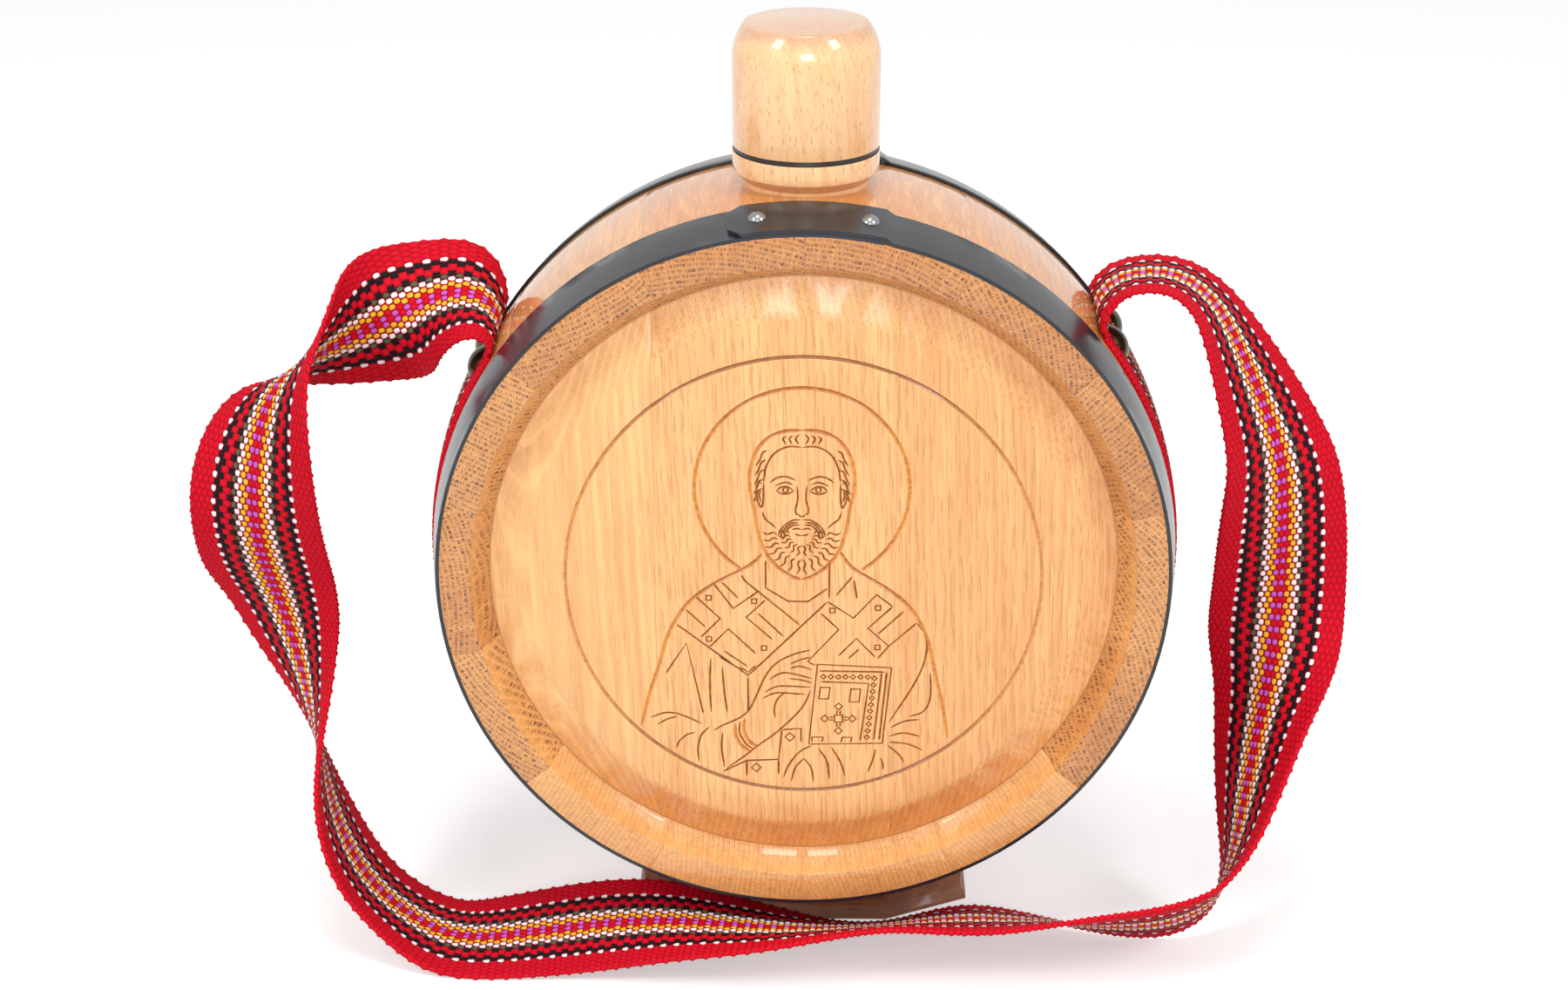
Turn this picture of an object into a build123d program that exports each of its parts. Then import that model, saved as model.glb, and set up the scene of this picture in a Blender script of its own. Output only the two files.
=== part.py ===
from build123d import *
from math import asin, cos, degrees, radians, sin, sqrt
import os

# Barrel flask of wooden staves with a screw cap, a foot and a carrying strap.
# Millimetres. The origin is the centre of the foot's underside, +Z is up and
# the carved head faces -Y. The barrel lies with its axis along Y, and a turn
# about that axis counts from the top, clockwise as seen from the front.

# Barrel
barrel_lift = 14.4
belly_radius = 115.6
belly_rise = 4.7
stave_count = 14
stave_thickness = 17.6
end_grain_width = 9.5
chime_depth = 9.0
chime_lip = 1.5
cove_hollow = 0.8
croze_width = 5.0
croze_cut = 3.5

# Heads, each of three boards glued edge to edge in the croze
head_recess = 4.0
head_bevel_width = 12.5
tongue_clearance = 0.3
head_joint_shares = (-0.54, 0.335)
ring_inset = 11.2
ring_width = 1.2
ring_depth = 0.6

# Hoops, each a riveted band whose outer end laps over the inner one
hoop_width = 18.4
hoop_thickness = 1.1
lap_length = 47.0
lap_offset = 0.5
lap_gap = 0.1
lap_step = 3.0
lap_corner = 4.0
rivet_place_shares = (0.19, 0.9)
rivet_head_radius = 2.7
rivet_head_height = 1.6
rivet_shank_radius = 1.2

# Neck: one turned piece with a tenon, a collar and a spigot for the thread
tenon_radius = 12.0
tenon_clearance = 0.1
neck_bore_radius = 9.0
collar_radius = 22.25
collar_stand = 0.2
collar_chamfer = 3.0
collar_band = 5.9
ring_line_height = 1.3
ring_line_inset = 0.6
thread_radius = 15.0
thread_depth = 1.0
spigot_height = 19.0
spigot_chamfer = 1.0

# Cap and the sealing disc inside it
cap_height = 37.0
cap_seat_gap = 0.1
cap_bore_clearance = 0.5
cap_mouth_chamfer = 1.0
cap_shoulder_height = 10.8
cap_shoulder_inset = 3.7
seal_thickness = 2.0
seal_clearance = 0.3

# Strap: a sling under the barrel and a free loop, tacked at both sides
strap_width = 42.0
strap_side_room = 6.4
strap_thickness = 1.5
tack_right_turn = 55.0
tack_left_turn = -59.5
tack_pitch = 20.0
tack_to_bend = 6.5
strap_lead = 3.0
tack_head_radius = 5.75
tack_head_height = 2.7
tack_shank_radius = 1.1
tack_shank_length = 11.0

# Foot: an eight-sided block between the hoops, cut to the barrel and the strap
foot_length = 109.0
foot_hoop_gap = 0.9
foot_corner_length = 27.0
foot_corner_width = 13.5
plinth_height = 1.5
plinth_bevel = 2.0
plinth_inset = 1.8
channel_side_clearance = 0.5
channel_clearance = 0.3

# How the loop lies, from the left tacks to the right ones. Each row is a place
# on its middle line and the direction across it from the edge that starts in
# front. Places are shares of the belly radius from the barrel's centre, but a
# height below the centre is a share of the axis height.
strap_way_shares = (
    (-0.83, 0.00, 0.61, 0.03, 0.98, 0.15),
    (-0.85, -0.005, 0.655, 0.00, 0.94, 0.30),
    (-0.915, -0.01, 0.685, 0.00, 0.87, 0.48),
    (-1.02, 0.005, 0.65, -0.05, 0.71, 0.70),
    (-1.13, -0.005, 0.595, 0.05, 0.00, 1.00),
    (-1.22, -0.035, 0.56, 0.10, -0.35, 0.93),
    (-1.31, -0.10, 0.53, 0.30, -0.67, 0.67),
    (-1.395, -0.185, 0.485, 0.63, -0.69, 0.35),
    (-1.435, -0.25, 0.375, 0.82, -0.50, 0.25),
    (-1.465, -0.275, 0.20, 0.95, -0.26, 0.15),
    (-1.465, -0.235, 0.04, 0.97, -0.20, 0.12),
    (-1.46, -0.16, -0.075, 0.95, -0.25, 0.17),
    (-1.445, -0.10, -0.175, 0.87, -0.46, 0.20),
    (-1.42, -0.085, -0.285, 0.70, -0.57, 0.42),
    (-1.37, -0.135, -0.455, 0.33, -0.81, 0.48),
    (-1.34, -0.225, -0.66, -0.06, -0.92, 0.39),
    (-1.255, -0.28, -0.84, -0.22, -0.92, 0.32),
    (-1.15, -0.31, -0.93, -0.19, -0.96, 0.19),
    (-1.015, -0.36, -0.985, -0.07, -1.00, 0.00),
    (-0.89, -0.385, -0.985, 0.05, -1.00, -0.06),
    (-0.655, -0.37, -0.955, 0.23, -0.96, -0.14),
    (-0.39, -0.40, -0.91, 0.19, -0.97, -0.10),
    (-0.14, -0.425, -0.92, 0.06, -0.98, 0.17),
    (0.06, -0.435, -0.92, 0.00, -0.92, 0.40),
    (0.245, -0.43, -0.91, -0.03, -0.93, 0.37),
    (0.44, -0.425, -0.885, -0.05, -0.96, 0.30),
    (0.625, -0.435, -0.89, -0.08, -0.90, 0.43),
    (0.815, -0.455, -0.885, -0.10, -0.78, 0.62),
    (1.01, -0.47, -0.875, -0.18, -0.69, 0.70),
    (1.135, -0.445, -0.82, -0.15, -0.78, 0.60),
    (1.18, -0.40, -0.755, -0.05, -0.86, 0.50),
    (1.21, -0.34, -0.65, 0.22, -0.87, 0.45),
    (1.255, -0.225, -0.46, 0.52, -0.75, 0.41),
    (1.29, -0.155, -0.345, 0.72, -0.62, 0.32),
    (1.305, -0.10, -0.175, 1.00, -0.05, 0.02),
    (1.295, -0.15, 0.02, 0.97, 0.20, -0.10),
    (1.275, -0.185, 0.245, 0.87, 0.46, -0.17),
    (1.24, -0.155, 0.37, 0.77, 0.63, -0.10),
    (1.12, -0.065, 0.625, 0.47, 0.86, -0.17),
    (1.065, -0.035, 0.69, 0.38, 0.92, -0.13),
    (1.005, -0.015, 0.73, 0.29, 0.95, -0.09),
    (0.94, 0.00, 0.74, 0.22, 0.97, -0.06),
    (0.88, 0.005, 0.735, 0.14, 0.99, -0.06),
    (0.83, 0.01, 0.715, 0.07, 1.00, -0.05),
    (0.795, 0.005, 0.685, 0.03, 1.00, -0.05),
)
strap_steps_per_row = 2

# One overrun serves every cut that runs past a surface
overrun = 5.0

# Sizes that follow from the ones above. The barrel is as deep as the two hoops
# and the strap between them need.
axis_height = belly_radius + barrel_lift
barrel_depth = strap_width + 2 * strap_side_room + 2 * hoop_width
half_depth = barrel_depth / 2
stave_inner_radius = belly_radius - stave_thickness
rim_radius = belly_radius - belly_rise
lip_radius = stave_inner_radius - chime_lip
croze_radius = stave_inner_radius + croze_cut
panel_radius = lip_radius - head_bevel_width
bend_radius = (half_depth**2 + belly_rise**2) / (2 * belly_rise)
foot_width = barrel_depth - 2 * hoop_width - 2 * foot_hoop_gap
belly_top = axis_height + belly_radius
collar_top = belly_top + collar_stand + collar_chamfer + collar_band
spigot_base = collar_top + ring_line_height
spigot_top = spigot_base + spigot_height
spigot_radius = thread_radius - thread_depth
cap_bore_radius = thread_radius + cap_bore_clearance
barrel_axis = Axis((0, 0, axis_height), (0, 1, 0))


def surface_radius(across, lift=0):
    """Distance from the barrel's axis to its outer surface raised by lift."""
    return belly_radius - bend_radius + sqrt((bend_radius + lift) ** 2 - across**2)


def at(radius, across):
    """A point above the barrel's axis."""
    return Vector(0, across, axis_height + radius)


def face_of(*edges):
    """A flat face inside closed edges."""
    return Face(Wire(edges))


def bend(start, end, lift=0):
    """The barrel's bulged outline between two places along its axis."""
    middle = (start + end) / 2
    points = [at(surface_radius(across, lift), across) for across in (start, middle, end)]
    return ThreePointArc(*points)


def turned(section, start=0, span=360):
    """A section above the axis, turned about it from start through span degrees."""
    return revolve(section.rotate(barrel_axis, start), barrel_axis, span)


def layer(start, end, low, high):
    """Section of a skin on the barrel between two places and two lifts."""
    inner = bend(start, end, low)
    outer = bend(end, start, high)
    return face_of(inner, Line(inner @ 1, outer @ 0), outer, Line(outer @ 1, inner @ 0))


def core(half_width, lift=0):
    """The solid that the barrel's outer surface, raised by lift, encloses."""
    top = bend(-half_width, half_width, lift)
    sides = Polyline(top @ 1, at(0, half_width), at(0, -half_width), top @ 0)
    return turned(face_of(top, *sides.edges()))


def seat(turn, across, lift=0):
    """A place on the barrel whose +Z leaves the surface squarely."""
    tilt = asin(across / bend_radius)
    reach = bend_radius + lift
    radius = belly_radius - bend_radius + reach * cos(tilt)
    about_axis = Pos(0, 0, axis_height) * Rot(0, turn, 0)
    return about_axis * Pos(0, reach * sin(tilt), radius) * Rot(-degrees(tilt), 0, 0)


def turn_of(length, radius=belly_radius):
    """The turn in degrees that a length covers round the barrel."""
    return degrees(length / radius)


def nail(head_radius, head_height, shank_radius, shank_length):
    """A domed head over a straight shank, with the head's underside at zero."""
    dome_radius = (head_radius**2 + head_height**2) / (2 * head_height)
    dome = Pos(0, 0, head_height - dome_radius) * Sphere(dome_radius)
    above = Pos(0, 0, head_height / 2) * Cylinder(head_radius, head_height)
    shank = Pos(0, 0, -shank_length / 2) * Cylinder(shank_radius, shank_length)
    return (dome & above) + shank


def tack_seats(side_turn):
    """The two tack places on one side, on top of the strap."""
    return [seat(side_turn, across, strap_thickness) for across in (-tack_pitch / 2, tack_pitch / 2)]


def drilled(solid, seats, radius, depth):
    """The solid with a hole for the shank at each place."""
    for place in seats:
        solid -= place * (Pos(0, 0, (overrun - depth) / 2) * Cylinder(radius, depth + overrun))
    return solid


def stave_section():
    """Section of a stave: bulged outside, end grain, cove, croze and flat inside."""
    flat_radius = rim_radius - end_grain_width
    groove_start = half_depth - chime_depth
    groove_end = groove_start - croze_width

    def end_outline(side):
        """Edges of one end, from the outside to the bore. Side is 1 or -1."""
        cove_middle = at(
            (flat_radius + lip_radius) / 2 + cove_hollow,
            side * (half_depth + groove_start) / 2,
        )
        flat = Line(at(rim_radius, side * half_depth), at(flat_radius, side * half_depth))
        cove = ThreePointArc(flat @ 1, cove_middle, at(lip_radius, side * groove_start))
        croze = Polyline(
            cove @ 1,
            at(croze_radius, side * groove_start),
            at(croze_radius, side * groove_end),
            at(stave_inner_radius, side * groove_end),
        )
        return [flat, cove, *croze.edges()]

    inside = Line(at(stave_inner_radius, -groove_end), at(stave_inner_radius, groove_end))
    outside = bend(-half_depth, half_depth)
    return face_of(outside, *end_outline(1), inside, *end_outline(-1))


def make_staves():
    """The ring of staves, drilled for the neck's tenon and for the strap's tacks."""
    section = stave_section()
    step = 360 / stave_count
    bore = Pos(0, 0, belly_top) * Cylinder(tenon_radius, 2 * stave_thickness + 2 * overrun)
    staves = {}
    for index in range(stave_count):
        stave = turned(section, index * step, step)
        if index in (0, stave_count - 1):
            stave -= bore
        for side_turn in (tack_right_turn, tack_left_turn % 360):
            if index == int(side_turn // step):
                stave = drilled(stave, tack_seats(side_turn), tack_shank_radius, tack_shank_length)
        staves[f"stave_{index + 1:02d}"] = stave
    return staves


def make_head(side):
    """One head before it is cut into boards. Side is -1 at the front and 1 behind."""
    shown = side * (half_depth - head_recess)
    tongue_front = side * (half_depth - chime_depth)
    tongue_back = side * (half_depth - chime_depth - croze_width)
    tongue_radius = croze_radius - tongue_clearance
    outline = Polyline(
        at(0, shown),
        at(panel_radius, shown),
        at(lip_radius, tongue_front),
        at(tongue_radius, tongue_front),
        at(tongue_radius, tongue_back),
        at(0, tongue_back),
        close=True,
    )
    head = turned(face_of(*outline.edges()))
    if side < 0:
        ring_radius = panel_radius - ring_inset
        ring = Polyline(
            at(ring_radius - ring_width / 2, shown),
            at(ring_radius, shown - side * ring_depth),
            at(ring_radius + ring_width / 2, shown),
            close=True,
        )
        head -= turned(face_of(*ring.edges()))
    return head


def make_head_boards(name, side):
    """The three boards of one head."""
    head = make_head(side)
    joints = [Plane((share * panel_radius, 0, 0), z_dir=(1, 0, 0)) for share in head_joint_shares]
    left = split(head, joints[0], keep=Keep.BOTTOM)
    rest = split(head, joints[0], keep=Keep.TOP)
    return {
        f"{name}_head_left_board": left,
        f"{name}_head_centre_board": split(rest, joints[1], keep=Keep.BOTTOM),
        f"{name}_head_right_board": split(rest, joints[1], keep=Keep.TOP),
    }


def rivet_seats(side):
    """The two rivet places on one hoop's lap, on top of both layers."""
    lap_start = lap_offset - lap_length / 2
    middle = side * (half_depth - hoop_width / 2)
    lift = 2 * hoop_thickness + lap_gap
    return [
        seat(turn_of(lap_start + share * lap_length), middle, lift) for share in rivet_place_shares
    ]


def make_hoop(side):
    """A flat band round one end of the barrel, whose outer end lies on the inner one."""
    near = side * (half_depth - hoop_width)
    far = side * half_depth
    lap_start = turn_of(lap_offset - lap_length / 2)
    lap_end = turn_of(lap_offset + lap_length / 2)
    step = turn_of(lap_step)
    over = hoop_thickness + lap_gap
    lower = layer(near, far, 0, hoop_thickness)
    upper = layer(near, far, over, over + hoop_thickness)
    outer_end = turned(upper, lap_start, lap_end - lap_start)
    for across in (near, far):
        corner = (seat(lap_start, across, over) * Pos(0, 0, hoop_thickness / 2)).position
        outer_end = chamfer(outer_end.edges().sort_by_distance(corner)[0], lap_corner)
    crank_ends = [upper.rotate(barrel_axis, lap_end), lower.rotate(barrel_axis, lap_end + step)]
    crank = loft(crank_ends, ruled=True)
    band = turned(lower, lap_end + step, 360 - step) + crank + outer_end
    return drilled(band, rivet_seats(side), rivet_shank_radius, 2 * over)


def make_hoop_rivets(side):
    """The two rivets of one hoop, closed flush under the inner layer."""
    rivet = nail(rivet_head_radius, rivet_head_height, rivet_shank_radius, 2 * hoop_thickness + lap_gap)
    return Compound([place * rivet for place in rivet_seats(side)])


def make_neck():
    """Tenon, collar seated on the staves, and spigot, with the bore through them."""
    band_base = collar_top - collar_band
    outline = Polyline(
        (0, 0, axis_height + stave_inner_radius),
        (collar_radius - collar_chamfer, 0, axis_height + stave_inner_radius),
        (collar_radius - collar_chamfer, 0, band_base - collar_chamfer),
        (collar_radius, 0, band_base),
        (collar_radius, 0, collar_top),
        (collar_radius - ring_line_inset, 0, collar_top),
        (collar_radius - ring_line_inset, 0, spigot_base),
        (spigot_radius, 0, spigot_base),
        (spigot_radius, 0, spigot_top - spigot_chamfer),
        (spigot_radius - spigot_chamfer, 0, spigot_top),
        (0, 0, spigot_top),
        close=True,
    )
    collar = revolve(face_of(*outline.edges()), Axis.Z) - core(half_depth)
    tenon_height = belly_top - axis_height - stave_inner_radius
    tenon = Pos(0, 0, axis_height + stave_inner_radius + tenon_height / 2) * Cylinder(
        tenon_radius - tenon_clearance, tenon_height
    )
    bore = Pos(0, 0, spigot_top) * Cylinder(neck_bore_radius, 2 * (spigot_top - axis_height))
    return collar + tenon - bore


def make_cap():
    """The cap: straight sides, a swept shoulder, a flat top and a blind bore for the thread."""
    base = spigot_base + cap_seat_gap
    top = base + cap_height
    side_radius = collar_radius
    shoulder_base = top - cap_shoulder_height
    ceiling = spigot_top + cap_seat_gap + seal_thickness + seal_clearance
    wall = Line((side_radius, 0, base), (side_radius, 0, shoulder_base))
    crown = (side_radius - cap_shoulder_inset, 0, top)
    shoulder = TangentArc(wall @ 1, crown, tangent=(0, 0, 1))
    inside = Polyline(
        crown,
        (0, 0, top),
        (0, 0, ceiling),
        (cap_bore_radius, 0, ceiling),
        (cap_bore_radius, 0, base + cap_mouth_chamfer),
        (cap_bore_radius + cap_mouth_chamfer, 0, base),
        (side_radius, 0, base),
    )
    return revolve(face_of(wall, shoulder, *inside.edges()), Axis.Z)


def make_cap_seal():
    """The disc that the cap presses on the spigot's mouth."""
    low = spigot_top + cap_seat_gap
    radius = cap_bore_radius - seal_clearance
    return Pos(0, 0, low + seal_thickness / 2) * Cylinder(radius, seal_thickness)


def foot_plan(inset, height):
    """The foot's eight-sided plan drawn in by inset, at a height."""
    half_length = foot_length / 2 - inset
    half_width = foot_width / 2 - inset
    corner = [
        (half_length, half_width - foot_corner_width),
        (half_length - foot_corner_length, half_width),
    ]
    points = corner + [(-x, y) for x, y in reversed(corner)]
    points += [(-x, -y) for x, y in points]
    return Pos(0, 0, height) * make_face(Polyline(*points, close=True))


def make_foot():
    """The foot, hollowed to the barrel and channelled for the strap."""
    waist = plinth_height + plinth_bevel
    plinth = extrude(foot_plan(0, 0), plinth_height)
    bevel = loft([foot_plan(0, plinth_height), foot_plan(plinth_inset, waist)])
    block = extrude(foot_plan(plinth_inset, waist), axis_height - waist)
    channel = core(strap_width / 2 + channel_side_clearance, strap_thickness + channel_clearance)
    return plinth + bevel + block - core(half_depth) - channel


def bend_turn(side):
    """Where the strap leaves the barrel above the tacks. Side is -1 at the left and 1 at the right."""
    tack_turn = tack_right_turn if side > 0 else tack_left_turn
    return tack_turn - side * turn_of(tack_to_bend, belly_radius + strap_thickness)


def make_strap_sling():
    """The stretch of strap that hugs the barrel from the right tacks round to the left ones."""
    section = layer(-strap_width / 2, strap_width / 2, 0, strap_thickness)
    start = bend_turn(1)
    sling = turned(section, start, 360 + bend_turn(-1) - start)
    seats = tack_seats(tack_right_turn) + tack_seats(tack_left_turn)
    return drilled(sling, seats, tack_shank_radius, tack_shank_length)


def strap_rows():
    """Places and width directions that the loop follows, with its leads along the barrel."""
    places = []
    widths = []
    for x, y, z, wide_x, wide_y, wide_z in strap_way_shares:
        height = axis_height + z * (belly_radius if z > 0 else axis_height)
        places.append(Vector(x * belly_radius, y * belly_radius, height))
        widths.append(Vector(wide_x, wide_y, wide_z))
    centre = Vector(0, 0, axis_height)
    leads = []
    for side in (-1, 1):
        angle = radians(bend_turn(side))
        outward = Vector(sin(angle), 0, cos(angle))
        upward = Vector(-side * cos(angle), 0, side * sin(angle))
        root = centre + outward * (belly_radius + strap_thickness / 2)
        leads.append([root - upward * strap_lead, root, root + upward * strap_lead])
    places = leads[0] + places + leads[1][::-1]
    widths = [Vector(0, 1, 0)] * 3 + widths + [Vector(0, 1, 0)] * 3
    return places, widths


def weighed(points, weights):
    """The sum of some points, each by its weight."""
    total = Vector(0, 0, 0)
    for point, weight in zip(points, weights):
        total += point * weight
    return total


def place_weights(share):
    """Weights of four guiding points for a place, a share of the way from the second to the third."""
    rest = 1 - share
    return (
        rest**3 / 6,
        (3 * share**3 - 6 * share**2 + 4) / 6,
        (3 * rest**3 - 6 * rest**2 + 4) / 6,
        share**3 / 6,
    )


def heading_weights(share):
    """Weights of the same four points for the curve's direction."""
    rest = 1 - share
    return (-(rest**2), 3 * share**2 - 4 * share, 4 * rest - 3 * rest**2, share**2)


def smooth_line(points, weights):
    """What the weights give at even steps, from the second point to the last but one."""
    line = []
    for index in range(1, len(points) - 2):
        guides = points[index - 1 : index + 3]
        steps = range(strap_steps_per_row)
        line += [weighed(guides, weights(step / strap_steps_per_row)) for step in steps]
    line.append(weighed(points[-4:], weights(1)))
    return line


def make_strap_loop():
    """The free loop of strap: flat sections lofted along its way."""
    guides, wide_guides = strap_rows()
    places = smooth_line(guides, place_weights)
    headings = smooth_line(guides, heading_weights)
    widths = smooth_line(wide_guides, place_weights)
    sections = []
    for place, heading, width in zip(places, headings, widths):
        along = heading.normalized()
        across = (width - along * width.dot(along)).normalized()
        thin = along.cross(across) * (strap_thickness / 2)
        wide = across * (strap_width / 2)
        corners = [place + wide + thin, place - wide + thin, place - wide - thin, place + wide - thin]
        sections.append(Wire(Polyline(*corners, close=True).edges()))
    length = sum((b - a).length for a, b in zip(places, places[1:]))
    print(f"strap loop {length:.0f} mm long")
    return Solid.make_loft(sections, ruled=True)


def make_tacks(side_turn):
    """The pair of tacks on one side, through the strap into a stave."""
    tack = nail(tack_head_radius, tack_head_height, tack_shank_radius, tack_shank_length)
    return Compound([place * tack for place in tack_seats(side_turn)])


def main():
    """Write every piece to its own file."""
    os.makedirs("parts", exist_ok=True)
    pieces = make_staves()
    for name, side in (("front", -1), ("rear", 1)):
        pieces.update(make_head_boards(name, side))
        pieces[f"{name}_hoop"] = make_hoop(side)
        pieces[f"{name}_hoop_rivets"] = make_hoop_rivets(side)
    pieces["neck_collar"] = make_neck()
    pieces["cap"] = make_cap()
    pieces["cap_seal"] = make_cap_seal()
    pieces["foot"] = make_foot()
    pieces["strap_sling"] = make_strap_sling()
    pieces["strap_loop"] = make_strap_loop()
    pieces["left_strap_tacks"] = make_tacks(tack_left_turn)
    pieces["right_strap_tacks"] = make_tacks(tack_right_turn)
    for name, piece in pieces.items():
        export_step(piece, f"parts/{name}.step")


if __name__ == "__main__":
    main()
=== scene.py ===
"""A flat barrel flask of wooden staves, with its hoops, screw cap, foot and woven strap."""
import logging
from dataclasses import dataclass, field
from enum import Enum
from math import cos, degrees, hypot, pi, radians, sin, sqrt

import bpy
from mathutils import Matrix, Vector


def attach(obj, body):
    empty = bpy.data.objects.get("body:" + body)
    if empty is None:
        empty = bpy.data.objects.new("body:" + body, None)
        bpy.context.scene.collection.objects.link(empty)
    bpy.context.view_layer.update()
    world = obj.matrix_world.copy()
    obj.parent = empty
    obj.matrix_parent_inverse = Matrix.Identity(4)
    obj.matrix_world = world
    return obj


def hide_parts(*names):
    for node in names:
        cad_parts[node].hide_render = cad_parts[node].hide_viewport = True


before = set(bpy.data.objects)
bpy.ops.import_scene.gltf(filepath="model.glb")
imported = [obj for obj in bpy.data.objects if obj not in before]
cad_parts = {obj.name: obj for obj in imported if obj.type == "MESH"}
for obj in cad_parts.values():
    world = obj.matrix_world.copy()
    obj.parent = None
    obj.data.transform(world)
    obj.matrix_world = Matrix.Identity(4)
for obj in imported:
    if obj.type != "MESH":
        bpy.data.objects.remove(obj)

log = logging.getLogger("barrel_flask")

Socket = bpy.types.NodeSocket
Material = bpy.types.Material
Piece = bpy.types.Object
Colour = tuple[float, float, float]
Place = tuple[float, float, float]
Points = tuple[tuple[float, float], ...]
Station = tuple[Vector, Vector, Vector]
Patch = tuple[list[int], "Dye", list[tuple[float, float]]]

MM = 0.001
WHITE: Colour = (1.0, 1.0, 1.0)


def paint(red: int, green: int, blue: int) -> Colour:
    """Turn a colour as a screen shows it into the linear light that a shader takes.

    Args:
        red: Red from 0 to 255.
        green: Green from 0 to 255.
        blue: Blue from 0 to 255.

    Returns:
        The same colour in linear light.
    """

    def linear(part: int) -> float:
        """One part of the colour in linear light."""
        share = part / 255
        return share / 12.92 if share <= 0.04045 else ((share + 0.055) / 1.055) ** 2.4

    return linear(red), linear(green), linear(blue)


@dataclass(frozen=True)
class BarrelShape:
    """The barrel's own sizes, in metres, which every piece on it follows.

    Args:
        axis_height: Height of the barrel's axis above the surface it stands on.
        belly_radius: Radius at the middle of the staves.
        belly_rise: How much smaller the radius is at the rims.
        half_depth: Half of the barrel's length along its axis.
        stave_count: How many staves make the ring.
    """

    axis_height: float = 130.0 * MM
    belly_radius: float = 115.6 * MM
    belly_rise: float = 4.7 * MM
    half_depth: float = 45.8 * MM
    stave_count: int = 14

    @property
    def centre(self) -> Vector:
        """The middle of the barrel."""
        return Vector((0, 0, self.axis_height))

    def surface_radius(self, across: float) -> float:
        """Radius of the outer surface at a distance from the middle along the axis."""
        bend = (self.half_depth**2 + self.belly_rise**2) / (2 * self.belly_rise)
        return self.belly_radius - bend + sqrt(bend**2 - across**2)

    @staticmethod
    def outward(turn: float) -> Vector:
        """The direction out of the barrel at a turn in degrees, clockwise from the top."""
        return Vector((sin(radians(turn)), 0, cos(radians(turn))))


BARREL = BarrelShape()


@dataclass(frozen=True)
class HeadShape:
    """The heads' own sizes, in metres.

    Args:
        recess: Depth of the panel behind the rim.
        panel_radius: Radius of the flat panel.
        lip_radius: Radius at which the bevelled edge meets the staves.
        joint_shares: Where the boards meet, as shares of the panel's radius.
    """

    recess: float = 4.0 * MM
    panel_radius: float = 84.0 * MM
    lip_radius: float = 96.5 * MM
    joint_shares: tuple[float, float] = (-0.54, 0.335)

    @property
    def joints(self) -> tuple[float, float]:
        """The distances of the two joints from the middle."""
        return self.joint_shares[0] * self.panel_radius, self.joint_shares[1] * self.panel_radius

    @property
    def face(self) -> float:
        """Where the front panel's face lies along the axis."""
        return -(BARREL.half_depth - self.recess)


HEAD = HeadShape()


class Nodes:
    """Shader nodes, added one after another with short calls.

    Args:
        tree: The tree that holds them.
    """

    def __init__(self, tree: bpy.types.NodeTree) -> None:
        """Start with the nodes that the tree has."""
        self.tree = tree

    def feed(self, socket: Socket, value: object) -> None:
        """Link a socket to another one, or set its value.

        Args:
            socket: The socket that is fed.
            value: The other socket, or the value.
        """
        if isinstance(value, Socket):
            self.tree.links.new(value, socket)
        else:
            socket.default_value = (*value, 1.0) if socket.type == "RGBA" else value

    def fill(self, node: bpy.types.Node, **values: object) -> bpy.types.Node:
        """Feed a node's sockets by their names.

        Args:
            node: The node.
            **values: What each socket takes, under its name with _ for a space.

        Returns:
            The same node.
        """
        for name, value in values.items():
            self.feed(node.inputs[name.replace("_", " ")], value)
        return node

    def add(self, kind: str, *values: object, **settings: object) -> bpy.types.Node:
        """Add a node.

        Args:
            kind: The node's type without the words ShaderNode.
            *values: What its sockets take, in order.
            **settings: The node's own settings.

        Returns:
            The new node.
        """
        node = self.tree.nodes.new(f"ShaderNode{kind}")
        for key, value in settings.items():
            setattr(node, key, value)
        for socket, value in zip(node.inputs, values):
            self.feed(socket, value)
        return node

    def sums(self, operation: str, *values: object) -> Socket:
        """The result of a Math node."""
        return self.add("Math", *values, operation=operation).outputs[0]

    def rest_of(self, value: Socket, share: float = 1.0) -> Socket:
        """What a share of a value leaves of 1."""
        return self.sums("MULTIPLY_ADD", value, -share, 1.0)

    def seen(self) -> Socket:
        """Tell the rays that show a thing from those that only light it.

        Returns:
            1 where a ray comes from the camera, from gloss or through glass, and 0 elsewhere.
        """
        rays = self.add("LightPath").outputs
        either = self.sums("MAXIMUM", rays["Is Camera Ray"], rays["Is Glossy Ray"])
        return self.sums("MAXIMUM", either, rays["Is Transmission Ray"])


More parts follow.
